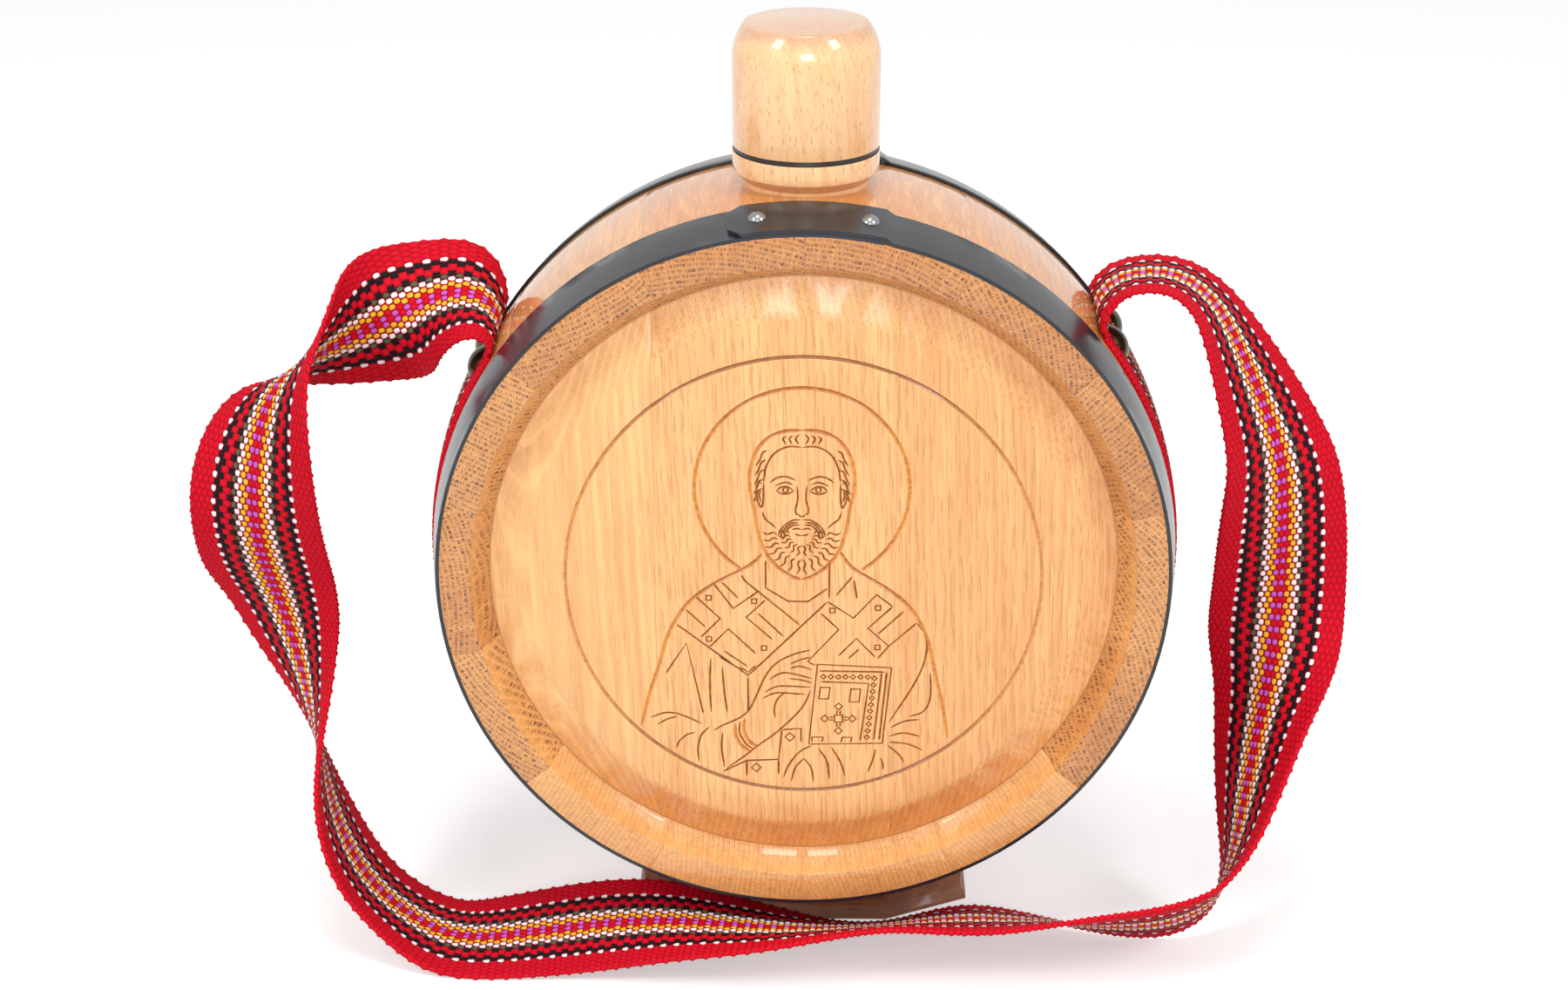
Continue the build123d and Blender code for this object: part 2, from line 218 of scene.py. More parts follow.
class Recipe(Nodes):
    """A material with calls for the patterns on its surface.

    Args:
        name: The material's name.
    """

    def __init__(self, name: str) -> None:
        """Start with a plain shader."""
        self.material = bpy.data.materials.new(name)
        self.material.use_nodes = True
        super().__init__(self.material.node_tree)
        self.shader = self.tree.nodes["Principled BSDF"]

    def moved(self, operation: str, *values: object) -> Socket:
        """The vector that a Vector Math node gives."""
        return self.add("VectorMath", *values, operation=operation).outputs[0]

    def place(self) -> Socket:
        """Where on the piece a point lies."""
        return self.add("TexCoord").outputs["Object"]

    def from_barrel(self) -> Socket:
        """Where a point lies from the barrel's centre."""
        return self.moved("SUBTRACT", self.place(), tuple(BARREL.centre))

    def axes(self, vector: Socket) -> list[Socket]:
        """The three parts of a vector."""
        return list(self.add("SeparateXYZ", vector).outputs)

    def facing(self, axis: int) -> Socket:
        """How squarely the surface faces along an axis, either way, from 0 to 1."""
        return self.sums("ABSOLUTE", self.axes(self.add("TexCoord").outputs["Normal"])[axis])

    def counted(self, at: Socket, steps: Place) -> Socket:
        """Places counted in steps, with a step for each axis."""
        return self.moved("MULTIPLY", at, tuple(1 / step for step in steps))

    def noise(self, at: Socket, detail: float = 2.0, rough: float = 0.5) -> Socket:
        """Cloudy noise with one cloud to each unit."""
        node = self.fill(self.add("TexNoise"), Vector=at, Scale=1.0, Detail=detail, Roughness=rough)
        return node.outputs[0]

    def clouds(self, step: float, detail: float) -> Socket:
        """Cloudy noise all over the piece, with one cloud to each step."""
        return self.noise(self.counted(self.place(), (step,) * 3), detail)

    def window(self, value: Socket, low: float, high: float) -> Socket:
        """A smooth rise from 0 at low to 1 at high, or a fall where low is the larger."""
        node = self.add("MapRange", interpolation_type="SMOOTHSTEP")
        return self.fill(node, Value=value, From_Min=low, From_Max=high, To_Min=0.0, To_Max=1.0).outputs[0]

    def mix(self, share: object, first: object, second: object, blend: str = "MIX") -> Socket:
        """Blend two colours.

        Args:
            share: How much of the second is blended in.
            first: The colour that is there.
            second: The colour that comes in.
            blend: The way in which they blend.

        Returns:
            The blended colour.
        """
        node = self.add("Mix", data_type="RGBA", blend_type=blend)
        for number, value in ((0, share), (6, first), (7, second)):
            self.feed(node.inputs[number], value)
        return node.outputs[2]

    def tinted(self, share: Socket, colour: Socket, tint: Colour) -> Socket:
        """Multiply a colour by a tint where a share is 1, and leave it where that is 0."""
        return self.mix(share, colour, self.mix(1.0, colour, tint, "MULTIPLY"))

    def bump(self, height: Socket, depth: float, strength: float) -> None:
        """Let a height between 0 and 1 shape the surface, depth metres deep."""
        node = self.fill(self.add("Bump"), Strength=strength, Distance=depth, Height=height)
        self.feed(self.shader.inputs["Normal"], node.outputs["Normal"])

    def finish(self, **values: object) -> Material:
        """Set the shader's sockets by their names, with _ for a space, and give the material."""
        self.fill(self.shader, **values)
        return self.material


class Fibre(Enum):
    """The direction in which a wooden piece's fibres run."""

    X = 0
    Y = 1
    Z = 2


class Joint(Enum):
    """How a wood's pattern starts anew from piece to piece."""

    NONE = "one piece"
    STAVES = "staves round the barrel"
    BOARDS = "boards side by side"


class Pores(Enum):
    """How a wood's pores show."""

    FLECKS = "short flecks all over"
    VESSELS = "rows of fine lines in every growth ring"


@dataclass(frozen=True)
class Wood:
    """A lacquered wood with growth rings, pores, rays and streaks.

    Args:
        name: The material's name.
        pale: Colour of the early wood.
        deep: Colour of the late wood.
        pore: Colour of the pores and flecks.
        fibre: Direction of the fibres.
        joint: How the pattern changes from piece to piece.
        pores: How the pores show.
        ring_step: Distance from ring to ring.
        ring_centre: Where the tree's heart lies, from the barrel's centre or from the stave's.
        ring_share: How strongly the rings show.
        pore_step: Distance from pore to pore.
        pore_size: Radius of a fleck as a share of that distance, or how much of a ring the vessels cover.
        pore_length: Length of a pore as a multiple of its step.
        pore_reach: How far a vessel reaches out from the heart as a multiple of its step.
        pore_share: How dark the pores are.
        side_pores: How much of the pores is left where the surface runs along the fibres.
        end_tint: What the colour is multiplied by where the surface cuts the fibres across.
        bevel_shade_tint: What it is multiplied by on the lower part of a head's bevel, as painted shade.
        ray_share: How strongly the rays show.
        streak_share: How strongly the streaks show.
        cloud_step: Width of the broad patches of another tone.
        piece_share: How much the tone changes from piece to piece.
        roughness: Roughness of the wood under its lacquer.
        lacquer: Weight of the clear lacquer.
        gloss: Roughness of the lacquer.
        lean: How far the fibres lean to the side, in radians.
    """

    name: str
    pale: Colour
    deep: Colour
    pore: Colour
    fibre: Fibre
    joint: Joint = Joint.NONE
    pores: Pores = Pores.FLECKS
    ring_step: float = 4.0 * MM
    ring_centre: Place = (0.0, 0.0, 0.0)
    ring_share: float = 0.5
    pore_step: float = 1.1 * MM
    pore_size: float = 0.25
    pore_length: float = 12.0
    pore_reach: float = 8.0
    pore_share: float = 0.8
    side_pores: float = 1.0
    end_tint: Colour = WHITE
    bevel_shade_tint: Colour = WHITE
    ray_share: float = 0.0
    streak_share: float = 0.5
    cloud_step: float = 30.0 * MM
    piece_share: float = 0.25
    roughness: float = 0.4
    lacquer: float = 0.5
    gloss: float = 0.1
    lean: float = 0.0

    # What all woods share. A layer of noise has the width of its patches, their length as a
    # multiple of it, its detail and its roughness.
    wander_noise = (14 * MM, 5.0, 2.0, 0.5)
    streak_noise = (2.2 * MM, 24.0, 4.0, 0.6)
    fine_noise = (0.4 * MM, 30.0, 2.0, 0.5)
    cloud_length = 60 * MM
    fine_share = 0.25
    cloud_share = 0.3
    full_tone = 1.35
    wander_rings = 9.0
    wave_unit = 0.1571
    ray_steps = (1.3 * MM, 30 * MM, 12 * MM)
    vessel_fade = 0.1
    fleck_fade = 0.06
    relief_depth = 0.04 * MM

    # How far the pattern moves from one board to the next, and how much further on the left
    # boards, which are sawn flat.
    board_shift = (13 * MM, 0.0, 210 * MM)
    left_board_shift = (305 * MM, 85 * MM, 0.0)

    # The lowest staves are of plainer wood: how many of a half ring's seven lie above them, how
    # much of the pores and of the end tint they lack, and how strongly their late wood shows there.
    staves_above = 5
    low_pore_loss = 0.7
    low_tint_loss = 0.8
    low_line_share = 0.5

    # Where a head's bevel starts to get painted shade, how low that shade lies as a share of its radius,
    # and how dark and how wide the painted shadow line is along its rim.
    bevel_shade_start = (-1 * MM, 3 * MM)
    bevel_shade_height = (-0.45, -0.85)
    rim_shadow_line = (-0.6 * MM, -0.2 * MM)
    rim_shadow_share = 0.7

    def along(self, recipe: Recipe, at: Socket, step: float, length: float) -> Socket:
        """Places counted in steps that are longer along the fibres.

        Args:
            recipe: The material.
            at: The places.
            step: The step across the fibres.
            length: How many times as long it is along them.

        Returns:
            The counted places.
        """
        steps = [step] * 3
        steps[self.fibre.value] *= length
        return recipe.counted(at, tuple(steps))

    def layer(
        self, recipe: Recipe, at: Socket, step: float, length: float, detail: float = 2.0, rough: float = 0.5
    ) -> Socket:
        """Cloudy noise in patches that are step wide and length times as long."""
        return recipe.noise(self.along(recipe, at, step, length), detail, rough)

    @staticmethod
    def turned(recipe: Recipe, at: Socket, angle: object) -> Socket:
        """Places turned about the Y axis."""
        node = recipe.add("VectorRotate", rotation_type="Y_AXIS")
        return recipe.fill(node, Vector=at, Angle=angle).outputs[0]

    def low_staves(self, recipe: Recipe) -> Socket:
        """Tell the lowest staves from the others.

        Args:
            recipe: The material.

        Returns:
            1 on the lowest staves and 0 on the others.
        """
        side, _, height = recipe.axes(recipe.from_barrel())
        turn = recipe.sums("ABSOLUTE", recipe.sums("ARCTAN2", side, height))
        return recipe.sums("GREATER_THAN", turn, self.staves_above * 2 * pi / BARREL.stave_count)

    def stave_places(self, recipe: Recipe, at: Socket) -> tuple[Socket, Socket]:
        """Places from the middle of each stave, turned about its length by chance.

        Args:
            recipe: The material.
            at: Places from the barrel's centre.

        Returns:
            The places, and the chance from 0 to 1 that each stave has, which is 0 on the lowest.
        """
        side, _, height = recipe.axes(at)
        step = 2 * pi / BARREL.stave_count
        turn = recipe.sums("ARCTAN2", side, height)
        index = recipe.sums("ADD", recipe.sums("FLOOR", recipe.sums("DIVIDE", turn, step)), 0.5)
        chance = recipe.fill(recipe.add("TexWhiteNoise", noise_dimensions="1D"), W=index).outputs["Value"]
        upright = self.turned(recipe, at, recipe.sums("MULTIPLY", index, -step))
        level = recipe.moved("SUBTRACT", upright, (0.0, 0.0, BARREL.belly_radius))
        low = self.low_staves(recipe)
        chosen = recipe.sums("MULTIPLY", chance, recipe.rest_of(low))
        turn = recipe.sums("MULTIPLY_ADD", chosen, 2 * pi, recipe.sums("MULTIPLY", low, pi / 2))
        return self.turned(recipe, level, turn), chosen

    def board_places(self, recipe: Recipe, at: Socket) -> tuple[Socket, Socket]:
        """Places that start anew on each board of a head.

        Args:
            recipe: The material.
            at: Places from the barrel's centre.

        Returns:
            The places, and 0, 0.5 and 1 on the left, centre and right board.
        """
        side = recipe.axes(at)[0]
        past_left, past_right = (recipe.sums("GREATER_THAN", side, joint) for joint in HEAD.joints)
        index = recipe.sums("ADD", past_left, past_right)
        at = recipe.moved("MULTIPLY_ADD", index, self.board_shift, at)
        at = recipe.moved("MULTIPLY_ADD", recipe.rest_of(past_left), self.left_board_shift, at)
        return at, recipe.sums("MULTIPLY", index, 0.5)

    def piece_places(self, recipe: Recipe) -> tuple[Socket, object]:
        """Places that start anew on each piece.

        Args:
            recipe: The material.

        Returns:
            The places, and a number from 0 to 1 for each piece.
        """
        at = recipe.from_barrel()
        if self.joint is Joint.STAVES:
            return self.stave_places(recipe, at)
        if self.joint is Joint.BOARDS:
            return self.board_places(recipe, at)
        return at, 0.0

    def round_heart(self, recipe: Recipe, heart: Socket) -> Socket:
        """Places measured round the tree's heart, out from it and along the fibres.

        Args:
            recipe: The material.
            heart: Places from the tree's heart.

        Returns:
            The same places in those three measures.
        """
        axes = recipe.axes(heart)
        along = axes.pop(self.fibre.value)
        squares = (recipe.sums("MULTIPLY", part, part) for part in axes)
        out = recipe.sums("SQRT", recipe.sums("ADD", *squares))
        turn = recipe.sums("MULTIPLY", recipe.sums("ARCTAN2", *axes), Vector(self.ring_centre).length)
        return recipe.add("CombineXYZ", turn, out, along).outputs[0]

    def rings(self, recipe: Recipe, at: Socket, heart: Socket) -> Socket:
        """The growth rings, which wander a little.

        Args:
            recipe: The material.
            at: Places on the piece.
            heart: The same places from the tree's heart.

        Returns:
            A number that goes from 0 to 1 in each ring.
        """
        wander = self.layer(recipe, at, *self.wander_noise)
        wave = recipe.add("TexWave", wave_type="RINGS", rings_direction=self.fibre.name, wave_profile="SAW")
        recipe.fill(
            wave,
            Vector=recipe.counted(heart, (self.ring_step / self.wave_unit,) * 3),
            Scale=2.0,
            Distortion=0.0,
            Phase_Offset=recipe.sums("MULTIPLY", wander, self.wander_rings),
        )
        return wave.outputs[1]

    def tone(self, recipe: Recipe, at: Socket, ring: Socket, fine: Socket, chance: object) -> Socket:
        """How deep the wood's colour is.

        Args:
            recipe: The material.
            at: Places on the piece.
            ring: The growth rings.
            fine: The finest layer of noise.
            chance: The number that each piece has.

        Returns:
            A share of the deep colour.
        """
        streak = self.layer(recipe, at, *self.streak_noise)
        cloud = self.layer(recipe, at, self.cloud_step, self.cloud_length / self.cloud_step)
        tone = recipe.sums("MULTIPLY", ring, self.ring_share)
        for part, share in (
            (recipe.window(streak, 0.36, 0.7), self.streak_share),
            (recipe.window(fine, 0.35, 0.75), self.fine_share),
            (recipe.window(cloud, 0.35, 0.7), self.cloud_share),
            (chance, self.piece_share),
        ):
            tone = recipe.sums("MULTIPLY_ADD", part, share, tone)
        return recipe.window(tone, 0.0, self.full_tone)

    def vessels(self, recipe: Recipe, round_at: Socket, ring: Socket) -> Socket:
        """Fine lines that lie in rows in the middle of every growth ring.

        Args:
            recipe: The material.
            round_at: Places measured round the tree's heart.
            ring: The growth rings.

        Returns:
            1 in a line and 0 beside it.
        """
        steps = tuple(self.pore_step * part for part in (1.0, self.pore_reach, self.pore_length))
        pores = recipe.window(recipe.noise(recipe.counted(round_at, steps), 1.0), 0.5, 0.58)
        for side in (-1, 1):
            edge = 0.5 + side * self.pore_size / 2
            inside = recipe.window(ring, edge + side * self.vessel_fade, edge)
            pores = recipe.sums("MULTIPLY", pores, inside)
        return pores

    def flecks(self, recipe: Recipe, at: Socket) -> Socket:
        """Short flecks of many sizes.

        Args:
            recipe: The material.
            at: Places on the piece.

        Returns:
            1 in a fleck and 0 beside it.
        """
        cells = recipe.add("TexVoronoi", feature="F1")
        recipe.fill(cells, Vector=self.along(recipe, at, self.pore_step, self.pore_length), Scale=1.0)
        picked = recipe.add("SeparateColor", cells.outputs["Color"]).outputs[0]
        size = recipe.sums("MULTIPLY", picked, self.pore_size)
        away = recipe.sums("SUBTRACT", cells.outputs["Distance"], size)
        return recipe.window(away, self.fleck_fade, -self.fleck_fade)

    def paint_head_shade(self, recipe: Recipe, colour: Socket) -> Socket:
        """Paint shade on the lower part of a head's bevel and a thin painted shadow line where it meets the
        staves.

        Args:
            recipe: The material.
            colour: The head's colour so far.

        Returns:
            The colour with both.
        """
        flat = recipe.moved("MULTIPLY", recipe.from_barrel(), (1.0, 0.0, 1.0))
        away = recipe.add("VectorMath", flat, operation="LENGTH").outputs["Value"]
        height = recipe.sums("DIVIDE", recipe.axes(flat)[2], away)
        bevel = recipe.window(away, *(HEAD.panel_radius + reach for reach in self.bevel_shade_start))
        # Painted shade on the lower part of the bevel.
        low = recipe.sums("MULTIPLY", bevel, recipe.window(height, *self.bevel_shade_height))
        # A painted shadow line along the rim, where the bevel meets the staves.
        line = recipe.window(away, *(HEAD.lip_radius + reach for reach in self.rim_shadow_line))
        colour = recipe.tinted(low, colour, self.bevel_shade_tint)
        return recipe.mix(recipe.sums("MULTIPLY", line, self.rim_shadow_share), colour, self.pore)

    def make(self) -> Material:
        """Build the material.

        Returns:
            The material.
        """
        recipe = Recipe(self.name)
        at, chance = self.piece_places(recipe)
        if self.lean:
            at = self.turned(recipe, at, self.lean)
        heart = recipe.moved("SUBTRACT", at, self.ring_centre)
        round_at = self.round_heart(recipe, heart)
        ring = self.rings(recipe, at, heart)
        fine = self.layer(recipe, at, *self.fine_noise)
        colour = recipe.mix(self.tone(recipe, at, ring, fine, chance), self.pale, self.deep)
        if self.ray_share:
            rays = recipe.window(recipe.noise(recipe.counted(round_at, self.ray_steps), 1.0), 0.62, 0.7)
            colour = recipe.mix(recipe.sums("MULTIPLY", rays, self.ray_share), colour, self.pale)
        if self.pores is Pores.VESSELS:
            pores = self.vessels(recipe, round_at, ring)
        else:
            pores = self.flecks(recipe, at)
        across = cut = recipe.window(recipe.facing(self.fibre.value), 0.25, 0.62)
        left = recipe.sums("MULTIPLY_ADD", across, 1 - self.side_pores, self.side_pores)
        pores = recipe.sums("MULTIPLY", pores, left)
        if self.joint is Joint.STAVES:
            low = self.low_staves(recipe)
            late = recipe.window(ring, 0.8, 0.97)
            lines = recipe.sums("MULTIPLY", late, recipe.sums("MULTIPLY", low, across))
            pores = recipe.sums("MULTIPLY", pores, recipe.rest_of(low, self.low_pore_loss))
            pores = recipe.sums("MULTIPLY_ADD", lines, self.low_line_share, pores)
            cut = recipe.sums("MULTIPLY", across, recipe.rest_of(low, self.low_tint_loss))
        colour = recipe.tinted(cut, colour, self.end_tint)
        colour = recipe.mix(recipe.sums("MULTIPLY", pores, self.pore_share), colour, self.pore)
        # Heads get painted shade on the lower bevel and a painted shadow line at their rim.
        if self.joint is Joint.BOARDS:
            colour = self.paint_head_shade(recipe, colour)
        relief = recipe.sums("SUBTRACT", recipe.sums("MULTIPLY", fine, 0.3), pores)
        recipe.bump(relief, self.relief_depth, 0.3)
        return recipe.finish(
            Base_Color=colour,
            Roughness=self.roughness,
            Coat_Weight=self.lacquer,
            Coat_Roughness=self.gloss,
        )


@dataclass(frozen=True)
class Metal:
    """A metal surface with fine brush lines and a few cloudy patches.

    Args:
        name: The material's name.
        colour: Its main colour.
        worn: The colour of its cloudier patches.
        metallic: How metallic the shader is.
        roughness: Roughness of the surface.
        coat: Weight of a clear lacquer on it.
        grain: Distance between its fine lines.
    """

    name: str
    colour: Colour
    worn: Colour
    metallic: float
    roughness: float
    coat: float = 0.0
    grain: float = 0.4 * MM

    # Width of the cloudy patches, and depth of the fine lines.
    cloud_step = 9 * MM
    line_depth = 0.02 * MM

    def make(self) -> Material:
        """Build the material.

        Returns:
            The material.
        """
        recipe = Recipe(self.name)
        worn = recipe.window(recipe.clouds(self.cloud_step, 3.0), 0.4, 0.75)
        recipe.bump(recipe.clouds(self.grain, 2.0), self.line_depth, 0.3)
        return recipe.finish(
            Base_Color=recipe.mix(worn, self.colour, self.worn),
            Metallic=self.metallic,
            Roughness=self.roughness,
            Coat_Weight=self.coat,
            Coat_Roughness=0.08,
        )


@dataclass(frozen=True)
class PlainFinish:
    """A simple finish with a slight mottle, for rubber and for carved grooves.

    Args:
        name: The material's name.
        colour: Its main colour.
        other: The colour of its darker specks.
        roughness: Roughness of the surface.
        coat: Weight of a clear lacquer on it.
        level: What the colour is multiplied by on walls that face up or down, as painted shade.
    """

    name: str
    colour: Colour
    other: Colour
    roughness: float
    coat: float = 0.0
    level: Colour = WHITE

    # Width and depth of the mottle.
    speck_step = 1.2 * MM
    speck_depth = 0.03 * MM

    def make(self) -> Material:
        """Build the material.

        Returns:
            The material.
        """
        recipe = Recipe(self.name)
        mottle = recipe.clouds(self.speck_step, 3.0)
        recipe.bump(mottle, self.speck_depth, 0.4)
        colour = recipe.mix(recipe.window(mottle, 0.4, 0.7), self.colour, self.other)
        # Walls that face up or down are darkened as painted shade.
        if self.level != WHITE:
            colour = recipe.tinted(recipe.window(recipe.facing(2), 0.2, 0.6), colour, self.level)
        return recipe.finish(
            Base_Color=colour,
            Roughness=self.roughness,
            Coat_Weight=self.coat,
            Coat_Roughness=0.15,
        )


@dataclass(frozen=True)
class Yarn:
    """Coarse dyed yarn. The mesh carries each bead's colours and the places on it.

    Args:
        name: The material's name.
        half_width: Half of a bead's width as a share of the step from column to column.
        half_length: Half of its length as a share of the step from row to row.
        roundness: How round the bead's outline is, from 2 for an oval up.
    """

    name: str
    half_width: float = 0.76
    half_length: float = 0.9
    roundness: float = 2.8

    # Width of the fuzz on the yarn, and depth of a bead's dome and of its twist.
    fuzz_step = 0.3 * MM
    bead_depth = 0.3 * MM

    def make(self) -> Material:
        """Build the material.

        Returns:
            The material.
        """
        recipe = Recipe(self.name)
        dye, gap = (recipe.add("Attribute", attribute_name=name).outputs["Color"] for name in ("dye", "gap"))
        lay = recipe.add("UVMap", uv_map="lay").outputs[0]
        out = 0.0
        for part, half in zip(recipe.axes(lay), (self.half_width, self.half_length)):
            away = recipe.sums("ABSOLUTE", recipe.sums("DIVIDE", part, half))
            out = recipe.sums("ADD", recipe.sums("POWER", away, self.roundness), out)
        fuzz = recipe.clouds(self.fuzz_step, 2.0)
        bead = recipe.window(recipe.sums("MULTIPLY_ADD", fuzz, 0.3, out), 1.4, 0.95)
        twist = recipe.add("TexWave", wave_type="BANDS", bands_direction="DIAGONAL")
        recipe.fill(twist, Vector=lay, Scale=1.3, Distortion=1.5)
        dome = recipe.sums("SQRT", recipe.sums("MAXIMUM", recipe.rest_of(out), 0.0))
        # Each bead is darkened towards its edges, patchily with the fuzz, as painted shade.
        deep = recipe.mix(0.3, dye, (0.0, 0.0, 0.0))
        shade = recipe.mix(recipe.window(recipe.sums("MULTIPLY", dome, fuzz), 0.1, 0.45), deep, dye)
        recipe.bump(recipe.sums("MULTIPLY_ADD", twist.outputs[1], 0.15, dome), self.bead_depth, 0.8)
        return recipe.finish(
            Base_Color=recipe.mix(bead, gap, shade),
            Roughness=0.65,
            Specular_IOR_Level=0.14,
        )


def pick(*pieces: Piece) -> None:
    """Select only these objects and make the first one active."""
    bpy.ops.object.select_all(action="DESELECT")
    for piece in pieces:
        piece.select_set(True)
    bpy.context.view_layer.objects.active = pieces[0]


def new_piece(name: str, data: bpy.types.ID) -> Piece:
    """Add an object that holds a mesh or a curve, and select only it.

    Args:
        name: The object's name.
        data: The mesh or the curve.

    Returns:
        The object.
    """
    piece = bpy.data.objects.new(name, data)
    bpy.context.collection.objects.link(piece)
    pick(piece)
    return piece


def point_outwards(merge: float = 0.0) -> None:
    """Point the faces of the active piece outwards.

    Args:
        merge: Points that are closer than this become one first.
    """
    bpy.ops.object.mode_set(mode="EDIT")
    bpy.ops.mesh.select_all(action="SELECT")
    if merge:
        bpy.ops.mesh.remove_doubles(threshold=merge)
    bpy.ops.mesh.normals_make_consistent(inside=False)
    bpy.ops.object.mode_set(mode="OBJECT")


def mounted(piece: Piece, body: str, slot: str, finish: Material, *nodes: str) -> Piece:
    """Give a finished piece its material, its body and the nodes that it stands for.

    Args:
        piece: The finished piece.
        body: The body that it moves with.
        slot: The material slot that its finish belongs to; not used.
        finish: Its material.
        *nodes: The construction nodes that it replaces.

    Returns:
        The same piece.
    """
    piece.data.materials.clear()
    piece.data.materials.append(finish)
    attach(piece, body)
    if nodes:
        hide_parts(*nodes)
    log.info("%s rides on %s with %d faces", piece.name, body, len(piece.data.polygons))
    return piece


def dressed(
    node: str, name: str, body: str, slot: str, finish: Material, edge: float, sharp: float = 32.0
) -> Piece:
    """Put a copy of a node in its place, with whole faces, softened edges and a finish.

    Args:
        node: The node to copy.
        name: The new piece's name.
        body: The body that it moves with.
        slot: The material slot that its finish belongs to.
        finish: Its material.
        edge: Width of the rounding along its edges, or 0 for none.
        sharp: The angle in degrees past which an edge is rounded and stays sharp in the shading.

    Returns:
        The new piece.
    """
    piece = new_piece(name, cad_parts[node].data.copy())
    bpy.ops.object.mode_set(mode="EDIT")
    bpy.ops.mesh.select_all(action="SELECT")
    bpy.ops.mesh.customdata_custom_splitnormals_clear()
    bpy.ops.mesh.remove_doubles(threshold=0.002 * MM)
    bpy.ops.mesh.dissolve_limited(angle_limit=radians(0.4))
    bpy.ops.object.mode_set(mode="OBJECT")
    if edge:
        bevel = piece.modifiers.new("edge", "BEVEL")
        bevel.width = edge
        bevel.segments = 2
        bevel.limit_method = "ANGLE"
        bevel.angle_limit = radians(sharp)
        bpy.ops.object.modifier_apply(modifier=bevel.name)
    bpy.ops.object.shade_smooth_by_angle(angle=radians(sharp))
    return mounted(piece, body, slot, finish, node)


@dataclass(frozen=True)
class Lamp:
    """A soft lamp that points at the barrel.

    Args:
        name: Its name.
        place: Where it hangs.
        size: Its width and height.
        power: Its power in watts.
    """

    name: str
    place: Place
    size: tuple[float, float]
    power: float

    def hang(self) -> None:
        """Hang the lamp."""
        bpy.ops.object.light_add(type="AREA", location=self.place)
        lamp = bpy.context.object
        lamp.name = self.name
        lamp.data.shape = "RECTANGLE"
        lamp.data.size, lamp.data.size_y = self.size
        lamp.data.energy = self.power
        lamp.rotation_euler = (Vector(self.place) - BARREL.centre).to_track_quat("Z", "Y").to_euler()


@dataclass
class Studio:
    """The camera, the white floor and the soft lamps.

    Args:
        camera_place: Where the camera stands.
        camera_turn: Its tilt, roll and heading in degrees.
        lens: Its focal length in millimetres.
        sensor: Width of its sensor in millimetres.
        nearest: How near to the camera a thing still shows.
        sky: Strength of the light from all round.
        floor_size: Width of the floor.
        floor_grey: How much light the floor throws back.
        floor_glow: How much is added to that where the floor is seen.
        lamps: The lamps.
    """

    camera_place: Place = (0.00455, -0.7761, 0.4732)
    camera_turn: Place = (66.803, 0.075, 0.816)
    lens: float = 60.88
    sensor: float = 36.0
    nearest: float = 0.02
    sky: float = 0.6
    floor_size: float = 8.0
    floor_grey: float = 0.78
    floor_glow: float = 0.38
    lamps: tuple[Lamp, ...] = (
        Lamp("lamp_top", (0.0, -0.35, 1.55), (0.5, 0.5), 6.0),
        Lamp("lamp_left", (-1.1, -0.8, 1.3), (0.4, 0.5), 7.0),
        Lamp("lamp_right", (1.1, -0.8, 1.3), (0.4, 0.5), 7.0),
        Lamp("lamp_front", (0.05, -1.6, 0.86), (0.55, 0.35), 7.5),
    )

    def set_camera(self) -> None:
        """Place the camera where the photograph was taken."""
        bpy.ops.object.camera_add(location=self.camera_place)
        camera = bpy.context.object
        turns = zip(self.camera_turn, "XZZ")
        tilt, roll, heading = (Matrix.Rotation(radians(angle), 4, axis) for angle, axis in turns)
        camera.matrix_world = Matrix.Translation(self.camera_place) @ (heading @ tilt @ roll)
        camera.data.lens = self.lens
        camera.data.sensor_width = self.sensor
        camera.data.clip_start = self.nearest
        bpy.context.scene.camera = camera

    def lay_floor(self) -> None:
        """Lay a white floor that keeps the object's shadow."""
        bpy.ops.mesh.primitive_circle_add(vertices=64, radius=self.floor_size / 2, fill_type="NGON")
        floor_piece = bpy.context.object
        floor_piece.name = "studio_floor"
        recipe = Recipe("studio_floor")
        light = recipe.add("Emission", WHITE, recipe.sums("MULTIPLY", recipe.seen(), self.floor_glow))
        both = recipe.add("AddShader", recipe.shader.outputs[0], light.outputs[0])
        recipe.fill(recipe.tree.nodes["Material Output"], Surface=both.outputs[0])
        grey = (self.floor_grey,) * 3
        floor_piece.data.materials.append(
            recipe.finish(Base_Color=grey, Roughness=0.9, Specular_IOR_Level=0.0)
        )

    def light_sky(self) -> None:
        """Light the room evenly and show white behind the object."""
        world = bpy.data.worlds.new("studio_sky")
        bpy.context.scene.world = world
        world.use_nodes = True
        nodes = Nodes(world.node_tree)
        strength = nodes.sums("MULTIPLY_ADD", nodes.seen(), 1.0 - self.sky, self.sky)
        nodes.fill(world.node_tree.nodes["Background"], Color=WHITE, Strength=strength)

    def build(self) -> None:
        """Set up everything round the object."""
        bpy.context.scene.view_settings.view_transform = "Standard"
        self.set_camera()
        self.lay_floor()
        self.light_sky()
        for lamp in self.lamps:
            lamp.hang()


